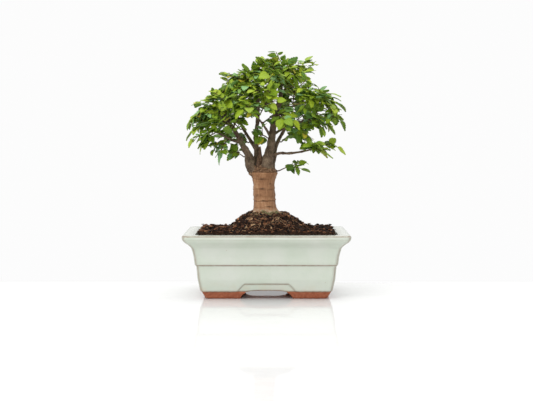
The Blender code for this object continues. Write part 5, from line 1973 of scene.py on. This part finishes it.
def build_pot_look(mat):
    """The pot as one surface, up the outside and down the inside, and its feet."""
    outside = smooth_profile(outer_profile(), 0.0007)
    inside = smooth_profile(inner_profile(), 0.0016)
    levels = [(z, inset, 0) for z, inset in outside]
    levels += [(z, inset, 1) for z, inset in inside]
    verts = []
    colours = []
    columns = None
    for z, inset, inner in levels:
        path = rounded_path(POT_WIDTH / 2 - inset, POT_DEPTH / 2 - inset, CORNER_RADIUS)
        columns = len(path)
        for x, y, corner in path:
            verts.append(pot_vertex(x, y, z, inner))
            colours.append(pot_tint(x, y, z, inner, corner))
    faces = grid_faces(len(levels), columns, wrap=True)
    add_underside(verts, faces, colours, columns)
    start = (len(levels) - 1) * columns
    # the inner floor around the drain holes gets painted shade (0.2) in the third channel
    colour = (0.1, 0.0, 0.2, 0.0)
    holes = [add_hole(verts, colours, sx, floor_height(), colour) for sx in (-1, 1)]
    faces.extend(plate_faces(verts, list(range(start, start + columns)), holes))
    builder = Builder()
    builder.add(verts, faces, 0, colours)
    for sx in (-1, 1):
        for sy in (-1, 1):
            builder.add(*foot_look(sx, sy))
    ob = mesh_object("pot_body", builder.verts, builder.faces, [mat],
                     colours=("pot", builder.colours))
    place(ob, "glaze", "pot")


def in_apron_zone(x, y, z):
    """Whether a point is low in the front or back, where the arched panel is."""
    return z < APRON_ZONE_TOP and abs(x) < APRON_ZONE_X and abs(y) > APRON_ZONE_Y


def pot_vertex(x, y, z, inner):
    """A point of the pot's wall with the unevenness of a hand-finished pot."""
    spot = Vector((x, y, z))
    push = 0.00022 * noise.noise(spot * 40.0) + 0.00008 * noise.noise(spot * 160.0)
    length = math.hypot(x, y)
    depth = 0.0
    if not inner and in_apron_zone(x, y, z):
        depth = APRON_DEPTH * 0.80 * apron_depth(x, z)[0]
    sink = 0.00025 * noise.noise(Vector((x * 16.0, y * 16.0, 2.0)))
    sink = sink if z > POT_HEIGHT - 0.010 else 0.0
    ny = math.copysign(1.0, y)
    lift = 0.0 if inner else arch_lift(x, y, z)
    return (x + x / length * push, y + y / length * push - ny * depth, z + sink + lift)


def pot_tint(x, y, z, inner, corner):
    """Thin glaze on edges, bare clay low down, and painted shade under the flange, around
    the ledge step and inside the pot.
    """
    top = POT_HEIGHT
    if inner:
        # inside: a thin-glaze line at the rim and a little painted shade (0.1) all over
        return 0.55 * bump_at(z, top - 0.0006, 0.0007), 0.0, 0.1, 0.0
    edge = max(0.95 * bump_at(z, top - 0.0008, 0.0006),
               0.16 * bump_at(z, top - LIP_HEIGHT - 0.0001, 0.0006),
               1.00 * bump_at(z, LEDGE_HEIGHT + 0.0007, 0.0006),
               0.90 * bump_at(z, FOOT_HEIGHT + 0.0006, 0.0008),
               0.85 * corner ** 3)
    if in_apron_zone(x, y, z):
        edge = max(edge, 0.85 * apron_depth(x, z)[1])
    # painted shade: a darker band under the flange and just above and below the ledge step
    shade = max(0.04 * bump_at(z, top - 0.0110, 0.0040),
                0.25 * bump_at(z, LEDGE_HEIGHT + 0.0030, 0.0014),
                0.30 * bump_at(z, LEDGE_HEIGHT - 0.0030, 0.0014))
    low = 1.0 if z < FOOT_HEIGHT + 0.0003 else 0.0
    warm = max(0.0, 1.0 - (z - FOOT_HEIGHT) / 0.011) * (0.35 + (x < 0.0) * 0.65)
    return edge, low, shade, warm


def add_hole(verts, colours, sx, z, colour):
    """The rim of one drain hole, counter-clockwise; returns its vertex numbers."""
    first = len(verts)
    for i in range(DRAIN_SIDES):
        angle = math.tau * i / DRAIN_SIDES
        verts.append((sx * DRAIN_SPACING / 2 + DRAIN_RADIUS * math.cos(angle),
                      DRAIN_RADIUS * math.sin(angle), z))
        colours.append(colour)
    return list(range(first, first + DRAIN_SIDES))


def add_underside(verts, faces, colours, columns):
    """The base: two flat ends with a drain hole each, and the vault between."""
    colour = (0.2, 1.0, 0.0, 0.0)
    vault = sorted((i for i in range(columns) if abs(verts[i][1]) > APRON_ZONE_Y
                    and abs(verts[i][0]) <= ARCH_HALF_WIDTH + 0.0008),
                   key=lambda i: verts[i][0])
    front = [i for i in vault if verts[i][1] < 0.0]
    back = [i for i in vault if verts[i][1] > 0.0]
    for a, b, c, d in zip(front, front[1:], back, back[1:]):
        faces.append((a, c, d, b))
    for sx, end in ((-1, front[0]), (1, front[-1])):
        limit = sx * verts[end][0] - 1e-7
        side = [i for i in range(columns) if sx * verts[i][0] > limit]
        side.sort(key=lambda i: math.atan2(verts[i][1], sx * verts[i][0]))
        outline = side if sx > 0 else list(reversed(side))
        holes = [add_hole(verts, colours, sx, FOOT_HEIGHT, colour)]
        faces.extend(tuple(reversed(f)) for f in plate_faces(verts, outline, holes))


def plate_faces(verts, outline, holes):
    """Triangles between the outline and the holes, seen from above."""
    loops = [[Vector(verts[i]) for i in outline]]
    index = list(outline)
    for hole in holes:
        back = list(reversed(hole))
        loops.append([Vector(verts[i]) for i in back])
        index += back
    faces = []
    for tri in tessellate_polygon(loops):
        a, b, c = (index[i] for i in tri)
        pa, pb, pc = (Vector(verts[i]) for i in (a, b, c))
        area = (pb - pa).cross(pc - pa).z
        faces.append((a, b, c) if area > 0 else (a, c, b))
    return faces


def foot_look(sx, sy):
    """One clay foot with soft edges, from rings of height, shrink and taper."""
    shapes = (
        (0.0, 0.0009, 0.0), (0.0002, 0.0005, 0.0), (0.0006, 0.0002, 0.02),
        (FOOT_HEIGHT * 0.18, -0.0002, 0.14), (FOOT_HEIGHT * 0.3, -0.0002, 0.26),
        (FOOT_HEIGHT * 0.5, 0.0, 0.47), (FOOT_HEIGHT * 0.65, 0.0, 0.66),
        (FOOT_HEIGHT * 0.78, 0.0, 0.80), (FOOT_HEIGHT * 0.93, 0.0, 0.97),
        (FOOT_HEIGHT + 0.0006, 0.0, 1.0))
    rings = [foot_outline(sx, sy, *shape) for shape in shapes]
    if sx * sy < 0:
        rings = [list(reversed(ring)) for ring in rings]
    verts = [v for ring in rings for v in ring]
    faces = closed_faces(len(rings), len(rings[0]))
    return verts, faces, 0, [(0.0, 1.0, 0.0, 1.0)] * len(verts)


def foot_outline(sx, sy, z, shrink, share):
    """An L-shaped ring of a foot with each corner rounded by its own radius."""
    top_x = POT_WIDTH / 2 - BASE_INSET - FOOT_SETBACK
    top_y = POT_DEPTH / 2 - BASE_INSET - FOOT_SETBACK
    out_x = top_x - FOOT_TAPER * (1 - share) - shrink
    out_y = top_y - FOOT_TAPER * (1 - share) - shrink
    slant = FOOT_SLANT * (0.35 * share + 0.65 * share ** 2)
    in_x = out_x - FOOT_THICKNESS + 2 * shrink
    in_y = out_y - FOOT_THICKNESS + 2 * shrink
    front_end = top_x - FOOT_LENGTH - slant + shrink
    side_end = top_y - FOOT_RETURN - slant + shrink
    corners = [(out_x, out_y, 0.0045), (front_end, out_y, 0.0008),
               (front_end, in_y, 0.0008), (in_x, in_y, 0.0010),
               (in_x, side_end, 0.0008), (out_x, side_end, 0.0008)]
    ring = []
    for i, (cx, cy, r) in enumerate(corners):
        px, py, _ = corners[i - 1]
        qx, qy, _ = corners[(i + 1) % len(corners)]
        before = Vector((px - cx, py - cy)).normalized() * r
        after = Vector((qx - cx, qy - cy)).normalized() * r
        for k in range(5):
            t = k / 4
            x = cx + before.x * (1 - t) ** 2 + after.x * t ** 2
            y = cy + before.y * (1 - t) ** 2 + after.y * t ** 2
            wave = 0.00012 * noise.noise(Vector((x * 120, y * 120, z * 150)))
            ring.append((sx * (x + wave), sy * (y + wave), z))
    return ring


def build_drain_walls(mat):
    """The glazed walls of the two drain holes through the floor."""
    low, high = FOOT_HEIGHT, floor_height()
    rows = ((low, 0.0004), (low + 0.0008, 0.0), (high - 0.0008, 0.0), (high, 0.0004))
    for sx, side in ((-1, "left"), (1, "right")):
        verts = []
        for z, flare in rows:
            r = DRAIN_RADIUS + flare
            for i in range(DRAIN_SIDES):
                angle = -math.tau * i / DRAIN_SIDES
                verts.append((sx * DRAIN_SPACING / 2 + r * math.cos(angle),
                              r * math.sin(angle), z))
        ob = mesh_object(f"drain_wall_{side}", verts,
                         grid_faces(len(rows), DRAIN_SIDES, wrap=True), [mat],
                         colours=("pot", [(0.2, 1.0, 0.0, 1.0)] * len(verts)))
        place(ob, "glaze")


# ---- Stage -------------------------------------------------------------
CAMERA_PLACE = (0.0, -1.088, 0.160)
CAMERA_PITCH = 90.0 - 3.26
CAMERA_LENS = 70.2
FLOOR_REACH = 6.0
FLOOR_BACK = 0.085

# Lights: name, where it is, where it points, its sides, its power (W)
LIGHTS = (("key", (-0.7, -0.9, 1.1), (0, 0, 0.12), (0.9, 0.9), 9.0),
          ("top", (0.1, 0.1, 1.3), (0, 0, 0.10), (1.2, 1.2), 8.0),
          ("fill", (0.35, -1.5, 0.45), (0, 0, 0.10), (1.0, 0.8), 2.2))


def build_camera():
    """Straight on from the front, a little above, with a long lens."""
    data = bpy.data.cameras.new("camera")
    data.sensor_width = 36.0
    data.lens = CAMERA_LENS
    data.clip_start = 0.01
    ob = bpy.data.objects.new("camera", data)
    ob.location = CAMERA_PLACE
    ob.rotation_euler = (math.radians(CAMERA_PITCH), 0.0, 0.0)
    bpy.context.scene.collection.objects.link(ob)
    bpy.context.scene.camera = ob


def area_light(name, location, target, size, power):
    """A soft rectangular light."""
    data = bpy.data.lights.new(name, "AREA")
    data.shape = "RECTANGLE"
    data.size, data.size_y = size
    data.energy = power
    ob = bpy.data.objects.new(name, data)
    ob.location = location
    heading = Vector(target) - Vector(location)
    ob.rotation_euler = heading.to_track_quat("-Z", "Y").to_euler()
    bpy.context.scene.collection.objects.link(ob)


def build_stage():
    """Even white surroundings, a pale polished table and three soft lights."""
    world = bpy.data.worlds.new("studio")
    world.use_nodes = True
    background = world.node_tree.nodes["Background"]
    background.inputs["Color"].default_value = (0.975, 0.975, 0.975, 1.0)
    background.inputs["Strength"].default_value = 1.0
    bpy.context.scene.world = world
    bpy.context.scene.view_settings.view_transform = "Standard"
    t = Tree("floor", 0.06, 0.14)
    pos = t.position()
    cloud = t.noise(pos, 2.2, 5.0, 0.6)
    veins = t.noise(t.stretch(pos, (1.0, 2.2, 1.0)), 5.0, 6.0, 0.6)
    vein = t.fade(t.math("ABSOLUTE", t.minus(veins, 0.5)), 0.0, 0.020)
    base = t.ramp(cloud, [(0.3, (0.735, 0.735, 0.730)), (0.7, (0.765, 0.765, 0.760))])
    t.colour(t.mix(t.times(vein, 0.10), base, (0.56, 0.55, 0.53)))
    t.roughness(t.line(cloud, 0.04, 0.03))
    corners = [(-FLOOR_REACH, -FLOOR_REACH, 0), (FLOOR_REACH, -FLOOR_REACH, 0),
               (FLOOR_REACH, FLOOR_BACK, 0), (-FLOOR_REACH, FLOOR_BACK, 0)]
    floor = mesh_object("floor", corners, [(0, 1, 2, 3)], [t.mat], smooth=False)
    for light in LIGHTS:
        area_light(*light)


# ---- Assembly ----------------------------------------------------------
def build():
    build_camera()
    build_stage()
    lines, plan = plan_crown()
    build_sprays(lines, plan, leaf_material(), twig_material())
    build_limbs(limb_material())
    build_trunk_look(trunk_material())
    build_soil_look(soil_material())
    chips = chip_material()
    for litter in LITTER:
        build_litter(chips, *litter)
    build_rootlets(root_material())
    build_moss(moss_material())
    glaze = glaze_material()
    build_pot_look(glaze)
    build_drain_walls(glaze)
    screens = screen_material()
    for name in ("drain_screen_left", "drain_screen_right"):
        screen = frame["nodes"][name]
        screen.data.materials.clear()
        screen.data.materials.append(screens)


build()
